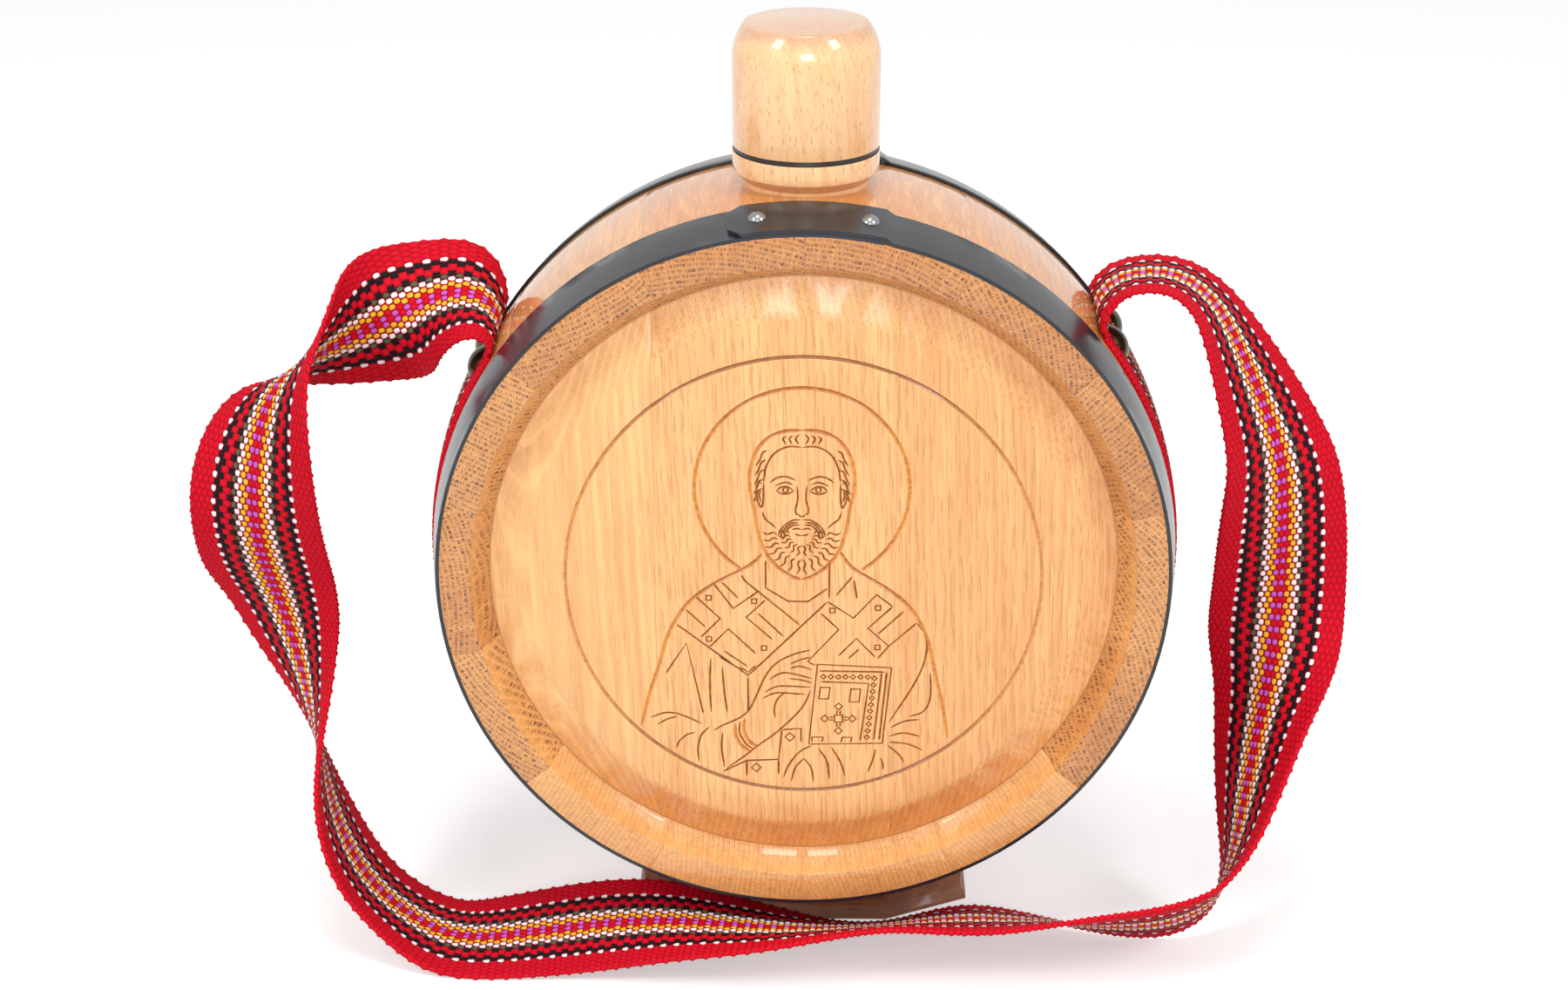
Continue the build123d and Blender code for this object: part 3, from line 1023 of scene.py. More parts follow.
@dataclass
class StaveRing:
    """The ring of staves.

    Args:
        edge: Rounding along the staves' edges.
        wood: Their wood.
    """

    edge: float = 0.18 * MM
    wood: Wood = Wood(
        name="stave_oak",
        pale=paint(242, 180, 110),
        deep=paint(206, 134, 68),
        pore=paint(112, 60, 24),
        fibre=Fibre.Y,
        joint=Joint.STAVES,
        pores=Pores.VESSELS,
        ring_step=1.6 * MM,
        ring_centre=(0.0, 0.0, -90 * MM),
        ring_share=0.3,
        pore_step=0.34 * MM,
        pore_size=0.46,
        pore_length=22.0,
        pore_share=1.0,
        side_pores=0.2,
        end_tint=paint(234, 226, 212),
        ray_share=0.6,
        streak_share=0.35,
        piece_share=0.5,
        roughness=0.4,
        lacquer=0.85,
        gloss=0.04,
    )

    def build(self) -> None:
        """Dress every stave."""
        oak = self.wood.make()
        for index in range(BARREL.stave_count):
            node = f"stave_{index + 1:02d}"
            dressed(node, f"{node}_oak", "barrel", "oak", oak, self.edge)


class Run(Enum):
    """How a carving tool runs through the points of a cut."""

    STRAIGHT = "from point to point"
    CURVED = "in one smooth curve"
    CLOSED = "from point to point and back to the first"


@dataclass(frozen=True)
class Tool:
    """A V-shaped carving tool and the look of the line that it leaves.

    Args:
        reach: Half of the tool's width at the height where it is guided.
        steepness: How much deeper than wide its tip is.
        finish: Finish of the walls that it leaves.
    """

    reach: float
    steepness: float
    finish: PlainFinish


@dataclass
class CarvedFigure:
    """The carved figure of a bearded man in vestments with a book, before a round halo.

    All points are millimetres to the right of the panel's middle and above it.

    Args:
        guide_height: How far in front of the panel the tools are guided.
        taper: Length over which a tool sinks in and rises again, in millimetres.
        taper_share: The most of a cut's first stretch that this takes.
        end_depth: Share of its depth that a tool has where it sets in.
        halo: Middle and radius of the halo's round.
        halo_gap: Half of the angle below the head where the shoulders hide the halo, in degrees.
        halo_steps: Straight steps that make the halo's round.
        head: Middle of the head, from the crown to the end of the beard.
        fine_tool: Tool for the folds, the face and the book.
        wide_tool: Tool for the halo, the outlines and the cuffs.
    """

    guide_height: float = 0.15 * MM
    taper: float = 0.8
    taper_share: float = 0.4
    end_depth: float = 0.35
    halo: Place = (-0.5, 30.5, 32.5)
    halo_gap: float = 34.5
    halo_steps: int = 60
    head: tuple[float, float] = (-0.5, 25.0)
    fine_tool: Tool = Tool(
        reach=0.42 * MM,
        steepness=1.6,
        finish=PlainFinish(
            "fine_cut",
            colour=paint(190, 124, 66),
            other=paint(150, 90, 44),
            roughness=0.5,
            coat=0.2,
        ),
    )
    wide_tool: Tool = Tool(
        reach=0.8 * MM,
        steepness=0.9,
        finish=PlainFinish(
            "wide_cut",
            colour=paint(228, 160, 88),
            other=paint(202, 132, 66),
            roughness=0.45,
            coat=0.3,
            # Painted shade on the walls that face up or down.
            level=paint(222, 206, 190),
        ),
    )

    # The body's outline, from the beard down to the ring.
    outlines = (
        ((-12.5, 9), (-14.5, 6.5), (-18.5, 3.5), (-25.5, 0), (-33.5, -5.5), (-38, -11), (-42, -19),
         (-44.5, -29), (-47.5, -38), (-50.5, -50.5)),
        ((11, 10), (13.5, 6), (16, 3.5), (21, 0.5), (26.5, -3), (32.5, -8), (36.5, -14.5), (39, -21.5),
         (41, -31.5), (43.5, -42), (45.5, -54)),
    )

    # The neck, the edges of the stole with its crosses, the folds, the strip below and the book.
    straight_cuts = (
        ((-11.5, 7), (-11.5, -2.5), (-4.5, -7), (1.5, -7), (7.5, -2.5)),
        ((8, 6.5), (8, -6)),
        ((-19, 2), (-18, 0), (-1, -15)),
        ((15, 1.5), (10, -5)),
        ((15.5, 0.5), (16.5, -6)),
        ((-39, -15), (-17, -32.5), (-14, -29.5), (7.5, -7)),
        ((-19.5, -29.5), (-17, -31.5), (-14.5, -29)),
        ((-17, -33), (-17, -45.5)),
        ((-27.5, -1), (-21.5, -9.5), (-13.5, -3.5)),
        ((-25, -0.5), (-20, -6)),
        ((-33, -5.5), (-25.5, -13), (-31.5, -19.5)),
        ((-36, -10), (-30, -16)),
        ((-29, -23), (-23, -16.5), (-14.5, -25)),
        ((-24.5, -24), (-17, -29.5)),
        ((-26, -26), (-18.5, -31)),
        ((-11.5, -6.5), (-17.5, -12.5), (-9.5, -20)),
        ((-14, -11), (-6, -19)),
        ((5.5, -11), (11, -16.5), (1.5, -27.5), (4, -29)),
        ((7.5, -7), (15.5, -12.5), (22.5, -4.5), (27.5, -8.5)),
        ((27.5, -8.5), (20, -16), (26.5, -22), (35, -14)),
        ((23, -18), (31, -10)),
        ((11, -25.5), (16.5, -19.5), (22.5, -26)),
        ((14, -26.5), (17.5, -23)),
        ((26.5, -22), (23, -26.5)),
        ((-42.5, -32), (-36, -21.5), (-31, -46)),
        ((-6.5, -51.5), (-0.5, -51), (-0.5, -56)),
        ((-6.5, -51.5), (-7.5, -62), (-17.5, -62.5), (-25, -66.5)),
        ((-17.5, -62.5), (-17.5, -68)),
        ((-7.5, -62), (-7.5, -67.5)),
        ((26, -31), (24, -55)),
        ((24.5, -31), (22.3, -55)),
        ((5, -30.8), (25.5, -31)),
        ((5.5, -34.5), (20.5, -35), (18, -55.5)),
        ((3, -56), (3, -54), (6.5, -54), (6, -56)),
        ((12, -56), (12.5, -54), (15.5, -54), (15, -56)),
    )

    # Folds of the sleeves, the cuffs, the raised hand and the cloth below the book.
    curved_cuts = (
        ((-28.5, -26.5), (-29, -36), (-28.5, -45.5)),
        ((-25, -29.5), (-24.5, -38), (-23.5, -45.5)),
        ((-47.5, -47.5), (-43, -45.5), (-38.5, -46), (-31.5, -49.5)),
        ((-45.5, -50), (-42.5, -48), (-39, -47)),
        ((-39.5, -58.5), (-39, -56), (-36.5, -53.5), (-33.5, -52.5)),
        ((-32.5, -63), (-33, -58.5), (-32, -53.5), (-29, -50.5)),
        ((-28, -52), (-25, -50), (-17.5, -46.5), (-14.5, -40), (-12, -33), (-8.5, -28), (-3, -25),
         (2.5, -23.5)),
        ((-19.5, -48.5), (-20, -52.5), (-18, -56.5), (-15.5, -58.5)),
        ((-25, -52.5), (-25.5, -58), (-24.5, -65)),
        ((-24, -65.5), (-17, -60), (-14, -57), (-8.5, -53), (0, -44), (2.5, -37.5)),
        ((-12, -38.5), (-9, -36.5), (-6.5, -36), (2.5, -36.5)),
        ((-12.5, -40.5), (-9, -38.5), (-6, -38.5), (1, -39)),
        ((-10.5, -34), (-7, -31.5), (-4, -31.5), (3, -33.5)),
        ((-4.5, -33.5), (0, -34), (3, -35)),
        ((-4, -28.5), (-1, -27), (2.5, -26)),
        ((-4, -30), (-1, -29), (3, -30.5)),
        ((-8.5, -47.5), (-9, -44), (-8, -40.5), (-5, -38)),
        ((35, -14), (38, -18), (38.5, -24), (36, -33), (27, -48.5)),
        ((39.5, -31), (40, -40), (38, -45), (33, -46.5)),
        ((27.5, -50.5), (31.5, -48), (36.5, -47.5)),
        ((27, -53.5), (31.5, -52), (37, -53.5)),
        ((27, -55.5), (33, -56), (38, -58.5)),
        ((-6, -68.5), (-4.5, -64), (-1, -59), (3, -57)),
        ((0.5, -61.5), (-2.5, -65), (-3.5, -70)),
        ((0.5, -61.5), (3, -65), (3.5, -70)),
        ((5, -58), (8, -62.5), (8.5, -69)),
        ((9, -57.5), (12, -62.5), (13.5, -68)),
        ((23, -58), (22, -62.5), (20.5, -66.5)),
        ((24.5, -61), (25.5, -64), (25, -65.5)),
        ((26.5, -56.5), (30.5, -60), (32, -63)),
    )
    cuffs = (
        ((-21, -49.5), (-21.2, -53), (-19.5, -57), (-16, -59.8)),
        ((-18, -47.5), (-18.5, -52), (-17, -55.5), (-14, -58)),
    )
    book = (((4.5, -28.5), (27.5, -29.5), (25, -56), (2, -56.5)),)
    clasps = (
        ((5.5, -36.5), (8.5, -36.5), (8, -40.5), (5, -40.5)),
        ((15, -37), (18, -37), (17.5, -41.5), (14.5, -41.5)),
    )
    studs = ((-29, -6), (-15, -7), (-29, -20), (-12, -23), (9, -10), (23, -9), (23, -22.5))
    diamonds = ((-4, -54), (-14.5, -65))

    # One half of the head, from its middle: hair, brow, eye, nose, mouth and the beard's upper edge.
    head_outline = ((0, 24.5), (6.5, 24.2), (12.5, 20.5), (15.6, 13.5), (16, 6), (14.4, -1), (13.6, -8),
                    (11.6, -15), (8, -20), (3.6, -23.6), (0, -24.5))
    half_head = (
        ((0, 19), (4.5, 19.4), (8.8, 17), (11, 12.5), (11.6, 7.5)),
        ((11.8, 7.4), (13.6, 7.2), (13.9, 3), (12.2, -1.6), (11.6, 1.5), (11.6, 7.4)),
        ((12.4, 5.2), (13, 3.4), (12.3, 1)),
        ((1.8, 8.2), (4.6, 9.6), (7.4, 9.3), (9.8, 7.4)),
        ((2.4, 4.8), (4.2, 6.2), (6.2, 6.2), (7.8, 4.8)),
        ((2.4, 4.8), (4.2, 3.8), (6, 3.8), (7.8, 4.8)),
        ((2.7, 6.8), (5, 7.8), (8.2, 6.4)),
        ((1.5, 6.6), (1.1, 2), (2.1, -1.4), (1.7, -2.9), (0.8, -2.8)),
        ((0.9, -3), (0.4, -3.6), (0, -3.6)),
        ((0.3, -4.6), (3.2, -4.8), (6.4, -7.6), (7.2, -10.4)),
        ((0.5, -6.4), (3, -6.4), (5, -8.6), (5.6, -11.4)),
        ((0.9, -5.6), (3.4, -5.7), (6, -8.6), (6.5, -11)),
        ((0, -7.9), (1.6, -7.5), (3, -7.9)),
        ((0, -9.9), (1.2, -9.8), (2.1, -9.2)),
        ((12, -2), (11.2, -4.6), (9.2, -6), (7.8, -7.6)),
    )
    iris = ((4.1, 5.1), (4.5, 4.3), (5.4, 4.3), (5.8, 5.1), (5.4, 5.9), (4.5, 5.9))

    # The cross on the book's cover.
    cover_cross = (11.2, -47.4)

    def hair_cuts(self) -> list[Points]:
        """Locks at one temple and one half of the forelock, from the head's middle.

        Returns:
            The points of each lock.
        """
        cuts = []
        for step in range(5):
            low = 15.4 - 3.1 * step
            side = 0.35 * step
            lock = ((10.4 + side, low + 2.6), (12 + side, low + 1.8), (12.6 + side, low - 0.6))
            cuts.append((*lock, (14 + 0.2 * step, low - 2.6)))
        for step in range(3):
            side = 1.9 * step
            cuts.append(((0.8 + side, 23.2 - 0.3 * step), (2.1 + side, 21.8), (1 + side, 19.8)))
        return cuts

    def beard_cuts(self) -> list[Points]:
        """Wavy locks of one half of the beard, fanned round the mouth, from the head's middle.

        Returns:
            The points of each lock.
        """
        mouth = -9.0
        cheek = -6.0
        fan = 84
        cuts = []
        for row, (start, end, first, count) in enumerate(((4.2, 8.2, -82, 6), (8.8, 14.2, -86, 8))):
            for step in range(count):
                angle = radians(first + fan * step / (count - 1))
                sine, cosine = sin(angle), cos(angle)
                narrow = 1 - 0.16 * max(cosine, 0.0)
                lock = []
                for share, sway in ((0, -0.5), (0.3, 0.6), (0.65, -0.4), (1, 0.7)):
                    away = (start + (end - start) * share) * narrow
                    lock.append((away * cosine - sway * sine, mouth + away * sine + sway * cosine))
                if row == 0 or lock[-1][1] < cheek:
                    cuts.append(tuple(lock))
        return cuts

    def both_halves(self, halves: list[Points]) -> list[Points]:
        """Place the cuts of one half of the head, and mirror them for the other."""
        middle, height = self.head
        return [tuple((middle + side * x, height + z) for x, z in cut) for side in (1, -1) for cut in halves]

    @staticmethod
    def diamond(x: float, z: float, reach: float, turn: float = 0.0) -> Points:
        """The corners of a small square, standing on a corner unless it is turned."""
        angles = (radians(turn + 90 * corner) for corner in range(4))
        return tuple((x + reach * cos(angle), z + reach * sin(angle)) for angle in angles)

    def book_ornament(self) -> tuple[list[Points], list[Points]]:
        """The beads and the cross on the book's cover.

        Returns:
            The closed cuts and the open ones.
        """
        closed = [self.diamond(6.4 + 2.3 * bead, -32.8, 0.8) for bead in range(7)]
        closed += [self.diamond(22.2 - 0.23 * bead, -33.2 - 2.3 * bead, 0.8) for bead in range(10)]
        x, z = self.cover_cross
        closed.append(self.diamond(x, z, 1.8, 45))
        opened = []
        for turn in range(0, 360, 90):
            cosine, sine = cos(radians(turn)), sin(radians(turn))
            closed.append(self.diamond(x + 4.3 * cosine, z + 4.3 * sine, 1.2))
            for side in (-0.5, 0.5):
                arm = ((out * cosine - side * sine, out * sine + side * cosine) for out in (1.4, 3.1))
                opened.append(tuple((x + right, z + up) for right, up in arm))
        return closed, opened

    def route(self, points: Points, closed: bool) -> list[Place]:
        """The points of a cut with the share of its depth at each, tapered at open ends.

        Args:
            points: The points of the cut.
            closed: Whether it ends where it starts.

        Returns:
            The points, each with its share.
        """
        full = [(x, z, 1.0) for x, z in points]
        if closed:
            return full
        for end, step in ((0, 1), (-1, -1)):
            (x, z), (next_x, next_z) = points[end], points[end + step]
            share = min(self.taper / hypot(next_x - x, next_z - z), self.taper_share)
            full[end] = (x, z, self.end_depth)
            full.insert(step, (x + (next_x - x) * share, z + (next_z - z) * share, 1.0))
        return full

    def cutter(self, tool: Tool, cuts: list[Points], run: Run) -> Piece:
        """Sweep a tool along its cuts.

        Args:
            tool: The tool.
            cuts: The points of each cut.
            run: How the tool runs through them.

        Returns:
            One piece that holds the space of all the cuts.
        """
        curve = bpy.data.curves.new("tool_path", "CURVE")
        curve.dimensions = "3D"
        curve.twist_mode = "Z_UP"
        curve.bevel_depth = tool.reach
        curve.bevel_resolution = 0
        curve.use_fill_caps = True
        curve.resolution_u = 4
        for cut in cuts:
            route = self.route(cut, run is Run.CLOSED)
            spline = curve.splines.new("NURBS" if run is Run.CURVED else "POLY")
            spline.points.add(len(route) - 1)
            for spot, (x, z, depth) in zip(spline.points, route):
                spot.co = (x * MM, z * MM, 0.0, 1.0)
                spot.radius = depth
            spline.use_cyclic_u = run is Run.CLOSED
            if run is Run.CURVED:
                spline.order_u = 3
                spline.use_endpoint_u = True
        piece = new_piece("tool_path", curve)
        bpy.ops.object.convert(target="MESH")
        guide = HEAD.face - self.guide_height
        upright = ((1, 0, 0, 0), (0, 0, -tool.steepness, guide), (0, 1, 0, BARREL.axis_height), (0, 0, 0, 1))
        piece.data.transform(Matrix(upright))
        point_outwards(merge=0.001 * MM)
        return piece

    def cutters(self) -> list[Piece]:
        """The spaces of all the cuts.

        Returns:
            One piece for each tool.
        """
        x, z, radius = self.halo
        start, span = self.halo_gap - 90, 360 - 2 * self.halo_gap
        turns = (radians(start + span * step / self.halo_steps) for step in range(self.halo_steps + 1))
        halo = tuple((x + radius * cos(turn), z + radius * sin(turn)) for turn in turns)
        closed, opened = self.book_ornament()
        closed += [self.diamond(*stud, 1.1, 45) for stud in self.studs]
        closed += [self.diamond(*spot, 1.5) for spot in self.diamonds]
        closed += [*self.book, *self.clasps, *self.both_halves([self.iris])]
        half = [*self.half_head, *self.hair_cuts(), *self.beard_cuts()]
        work = (
            (self.wide_tool, [halo], Run.STRAIGHT),
            (self.wide_tool, [*self.outlines, *self.both_halves([self.head_outline])], Run.CURVED),
            (self.wide_tool, list(self.cuffs), Run.CURVED),
            (self.fine_tool, [*self.straight_cuts, *opened], Run.STRAIGHT),
            (self.fine_tool, [*self.curved_cuts, *self.both_halves(half)], Run.CURVED),
            (self.fine_tool, closed, Run.CLOSED),
        )
        joined = []
        for tool in (self.wide_tool, self.fine_tool):
            pieces = [self.cutter(tool, cuts, run) for used, cuts, run in work if used is tool]
            pick(*pieces)
            bpy.ops.object.join()
            pieces[0].data.materials.append(tool.finish.make())
            joined.append(pieces[0])
        return joined

    def cut(self, boards: list[Piece]) -> None:
        """Carve the figure into the front boards.

        Args:
            boards: The boards.
        """
        cutters = self.cutters()
        for board in boards:
            pick(board)
            for cutter in cutters:
                groove = board.modifiers.new("groove", "BOOLEAN")
                groove.operation = "DIFFERENCE"
                groove.solver = "EXACT"
                groove.use_self = True
                groove.material_mode = "TRANSFER"
                groove.object = cutter
                bpy.ops.object.modifier_apply(modifier=groove.name)
            bpy.ops.object.shade_smooth_by_angle(angle=radians(25))
            log.info("%s is carved and has %d faces", board.name, len(board.data.polygons))
        for cutter in cutters:
            bpy.data.objects.remove(cutter)


@dataclass
class Heads:
    """The front and the rear head.

    Args:
        edge: Rounding along the boards' edges.
        sharp: The angle in degrees past which an edge is rounded.
        ring_radius: Radius of the turned ring on the front head.
        ring_width: Width of its groove.
        ring_depth: The most that its walls lie behind the panel.
        ring_cut: Finish of its walls.
        wood: The boards' wood.
        carving: What is carved on the front head.
    """

    edge: float = 0.12 * MM
    sharp: float = 25.0
    ring_radius: float = 72.8 * MM
    ring_width: float = 1.2 * MM
    ring_depth: float = 1.0 * MM
    ring_cut: PlainFinish = PlainFinish(
        "ring_cut",
        colour=paint(222, 156, 86),
        other=paint(196, 128, 66),
        roughness=0.4,
        coat=0.5,
        # Painted shade on the walls that face up or down.
        level=paint(186, 168, 150),
    )
    wood: Wood = Wood(
        name="head_oak",
        pale=paint(247, 192, 124),
        deep=paint(224, 153, 84),
        pore=paint(182, 112, 52),
        fibre=Fibre.Z,
        joint=Joint.BOARDS,
        pores=Pores.VESSELS,
        ring_step=2.1 * MM,
        ring_centre=(230 * MM, 70 * MM, 0.0),
        ring_share=0.24,
        pore_step=0.4 * MM,
        pore_size=0.5,
        pore_length=22.0,
        pore_reach=1.0,
        pore_share=0.5,
        streak_share=0.3,
        # Painted shade on the lower part of the bevel.
        bevel_shade_tint=paint(232, 208, 180),
        cloud_step=7.0 * MM,
        piece_share=0.36,
        roughness=0.42,
        lacquer=1.0,
        gloss=0.28,
        lean=0.035,
    )
    carving: CarvedFigure = field(default_factory=CarvedFigure)

    def colour_ring(self, board: Piece, fresh: Material) -> None:
        """Give the walls of the turned ring the look of a fresh cut.

        Args:
            board: A front board.
            fresh: The material with that look.
        """
        slot = len(board.data.materials)
        board.data.materials.append(fresh)
        behind = HEAD.face + 0.04 * MM
        for face in board.data.polygons:
            middle = face.center - BARREL.centre
            off_ring = abs(hypot(middle.x, middle.z) - self.ring_radius)
            if behind < middle.y < behind + self.ring_depth and off_ring < self.ring_width / 2 + 0.1 * MM:
                face.material_index = slot

    def build(self) -> None:
        """Dress the six boards and carve the front ones."""
        honey = self.wood.make()
        fresh = self.ring_cut.make()
        boards = []
        for end in ("front", "rear"):
            for side in ("left", "centre", "right"):
                node = f"{end}_head_{side}_board"
                board = dressed(node, f"{node}_oak", "barrel", "head_wood", honey, self.edge, self.sharp)
                boards.append(board)
        for board in boards[:3]:
            self.colour_ring(board, fresh)
        self.carving.cut(boards[:3])


@dataclass
class Hoops:
    """The two steel hoops and their rivets.

    Args:
        edge: Rounding along the bands' edges.
        lacquer: Finish of the bands.
        rivet_steel: Finish of the rivets.
    """

    edge: float = 0.25 * MM
    lacquer: Metal = Metal(
        name="black_hoop_steel",
        colour=paint(28, 30, 36),
        worn=paint(34, 36, 42),
        metallic=0.0,
        roughness=0.24,
        coat=0.08,
    )
    rivet_steel: Metal = Metal(
        name="bright_rivet_steel",
        colour=paint(150, 150, 152),
        worn=paint(96, 96, 100),
        metallic=1.0,
        roughness=0.25,
    )

    def build(self) -> None:
        """Dress the bands and the rivets."""
        black = self.lacquer.make()
        bright = self.rivet_steel.make()
        for end in ("front", "rear"):
            band, rivets = f"{end}_hoop", f"{end}_hoop_rivets"
            dressed(band, f"{band}_band", "barrel", "hoop_steel", black, self.edge)
            dressed(rivets, f"{end}_hoop_rivet_heads", "barrel", "hoop_steel", bright, 0.0)


@dataclass
class NeckAndCap:
    """The turned neck collar, the screw cap with its thread, and the seal.

    Args:
        edge: Rounding along the turned edges.
        collar_top: Height at which the burnt line starts.
        spigot_base: Height at which it ends.
        burnt_radius: Distance from the axis at which it starts.
        thread_pitch: Rise of the thread in one turn.
        thread_depth: How far its ridge stands out.
        spigot_root: Radius of the spigot between the ridges.
        cap_root: Radius of the cap's bore between the ridges.
        thread_turns: Turns of the ridge.
        thread_steps: Straight steps in one turn of it.
        ridge_share: Half of the ridge's width as a share of its pitch.
        sunk_share: How deep it is let into the wood as a share of its depth.
        wood: The wood of the neck and the cap.
        burnt: Finish of the burnt line.
        rubber: Finish of the seal.
    """

    edge: float = 0.4 * MM
    collar_top: float = 254.7 * MM
    spigot_base: float = 256.0 * MM
    burnt_radius: float = 20.8 * MM
    thread_pitch: float = 4.0 * MM
    thread_depth: float = 1.0 * MM
    spigot_root: float = 14.0 * MM
    cap_root: float = 15.5 * MM
    thread_turns: int = 4
    thread_steps: int = 48
    ridge_share: float = 0.22
    sunk_share: float = 0.15
    wood: Wood = Wood(
        name="turned_beech",
        pale=paint(252, 208, 154),
        deep=paint(232, 164, 100),
        pore=paint(204, 130, 66),
        fibre=Fibre.Z,
        ring_step=3.2 * MM,
        ring_centre=(70 * MM, 60 * MM, 0.0),
        ring_share=0.28,
        pore_step=0.5 * MM,
        pore_size=0.36,
        pore_length=7.0,
        pore_share=0.75,
        end_tint=paint(220, 214, 228),
        streak_share=0.3,
        roughness=0.32,
        lacquer=0.8,
        gloss=0.04,
        lean=0.1,
    )
    burnt: PlainFinish = PlainFinish(
        name="burnt_line", colour=paint(34, 12, 5), other=paint(22, 8, 4), roughness=0.3, coat=0.2
    )
    rubber: PlainFinish = PlainFinish(
        name="seal_rubber", colour=paint(214, 208, 194), other=paint(196, 190, 176), roughness=0.6
    )

    def thread_ridge(self, name: str, root: float, crest: float, base: float) -> Piece:
        """Wind a ridge of the thread as one unbroken helix.

        Args:
            name: The piece's name.
            root: Radius where the ridge stands on the wood.
            crest: Radius of its tip.
            base: Height at which it starts.

        Returns:
            The ridge, closed at both ends.
        """
        half = self.thread_pitch * self.ridge_share
        foot = root + (root - crest) * self.sunk_share
        mesh = bpy.data.meshes.new(name)
        corners = [(foot, 0, base - half), (foot, 0, base + half), (crest, 0, base)]
        mesh.from_pydata(corners, [(0, 1), (1, 2), (2, 0)], [])
        ridge = new_piece(name, mesh)
        winding = ridge.modifiers.new("winding", "SCREW")
        winding.angle = 2 * pi
        winding.screw_offset = self.thread_pitch
        winding.iterations = self.thread_turns
        winding.steps = winding.render_steps = self.thread_steps
        winding.use_merge_vertices = False
        bpy.ops.object.modifier_apply(modifier=winding.name)
        bpy.ops.object.mode_set(mode="EDIT")
        bpy.ops.mesh.select_all(action="DESELECT")
        bpy.ops.mesh.select_non_manifold()
        bpy.ops.mesh.fill()
        bpy.ops.object.mode_set(mode="OBJECT")
        point_outwards()
        bpy.ops.object.shade_smooth_by_angle(angle=radians(40))
        return ridge

    def burn_line(self, collar: Piece) -> None:
        """Darken the narrow part between the collar and the cap.

        Args:
            collar: The neck collar.
        """
        collar.data.materials.append(self.burnt.make())
        for face in collar.data.polygons:
            corners = [collar.data.vertices[corner].co for corner in face.vertices]
            level = self.collar_top - 0.05 * MM < face.center.z < self.spigot_base + self.edge
            if level and min(hypot(corner.x, corner.y) for corner in corners) > self.burnt_radius:
                face.material_index = 1

    def build(self) -> None:
        """Dress the neck, the cap and the seal, and wind both threads."""
        beech = self.wood.make()
        self.burn_line(dressed("neck_collar", "neck_collar_beech", "barrel", "beech", beech, self.edge))
        dressed("cap", "cap_beech", "cap", "beech", beech, self.edge)
        dressed("cap_seal", "cap_seal_rubber", "cap_liner", "seal_rubber", self.rubber.make(), self.edge)
        threads = (
            ("spigot_thread", "barrel", self.spigot_root, 1),
            ("cap_thread", "cap", self.cap_root, -1),
        )
        for number, (name, body, root, side) in enumerate(threads, 1):
            base = self.spigot_base + number * self.thread_pitch / 2
            ridge = self.thread_ridge(name, root, root + side * self.thread_depth, base)
            mounted(ridge, body, "beech", beech)


@dataclass
class Foot:
    """The foot block.

    Args:
        edge: Rounding along its edges.
        wood: Its wood, a brown darkened further as painted shade under the barrel.
    """

    edge: float = 0.5 * MM
    wood: Wood = Wood(
        name="foot_beech",
        # Darker than the wood's own brown: painted shade for the foot's place under the barrel.
        pale=paint(138, 80, 44),
        deep=paint(102, 56, 28),
        pore=paint(70, 36, 18),
        fibre=Fibre.X,
        ring_step=4.0 * MM,
        ring_centre=(0.0, 50 * MM, -160 * MM),
        ring_share=0.35,
        pore_step=1.0 * MM,
        pore_size=0.32,
        pore_length=9.0,
        pore_share=0.6,
        roughness=0.5,
        lacquer=0.25,
    )

    def build(self) -> None:
        """Dress the foot."""
        dressed("foot", "foot_beech", "barrel", "foot_wood", self.wood.make(), self.edge)


class Dye(Enum):
    """The dyed yarns of the strap, each with the colour of its beads and of the gaps beside them."""

    RED = (paint(217, 8, 34), paint(184, 0, 31))
    BLACK = (paint(22, 19, 23), paint(34, 2, 8))
    OLIVE = (paint(92, 98, 72), paint(44, 6, 12))
    WHITE = (paint(252, 238, 240), paint(156, 2, 26))
    YELLOW = (paint(252, 186, 44), paint(150, 6, 16))
    PURPLE = (paint(206, 96, 208), paint(160, 0, 28))

    @property
    def bead(self) -> Colour:
        """Colour of its beads."""
        return self.value[0]

    @property
    def gap(self) -> Colour:
        """Colour of the gaps beside its beads."""
        return self.value[1]


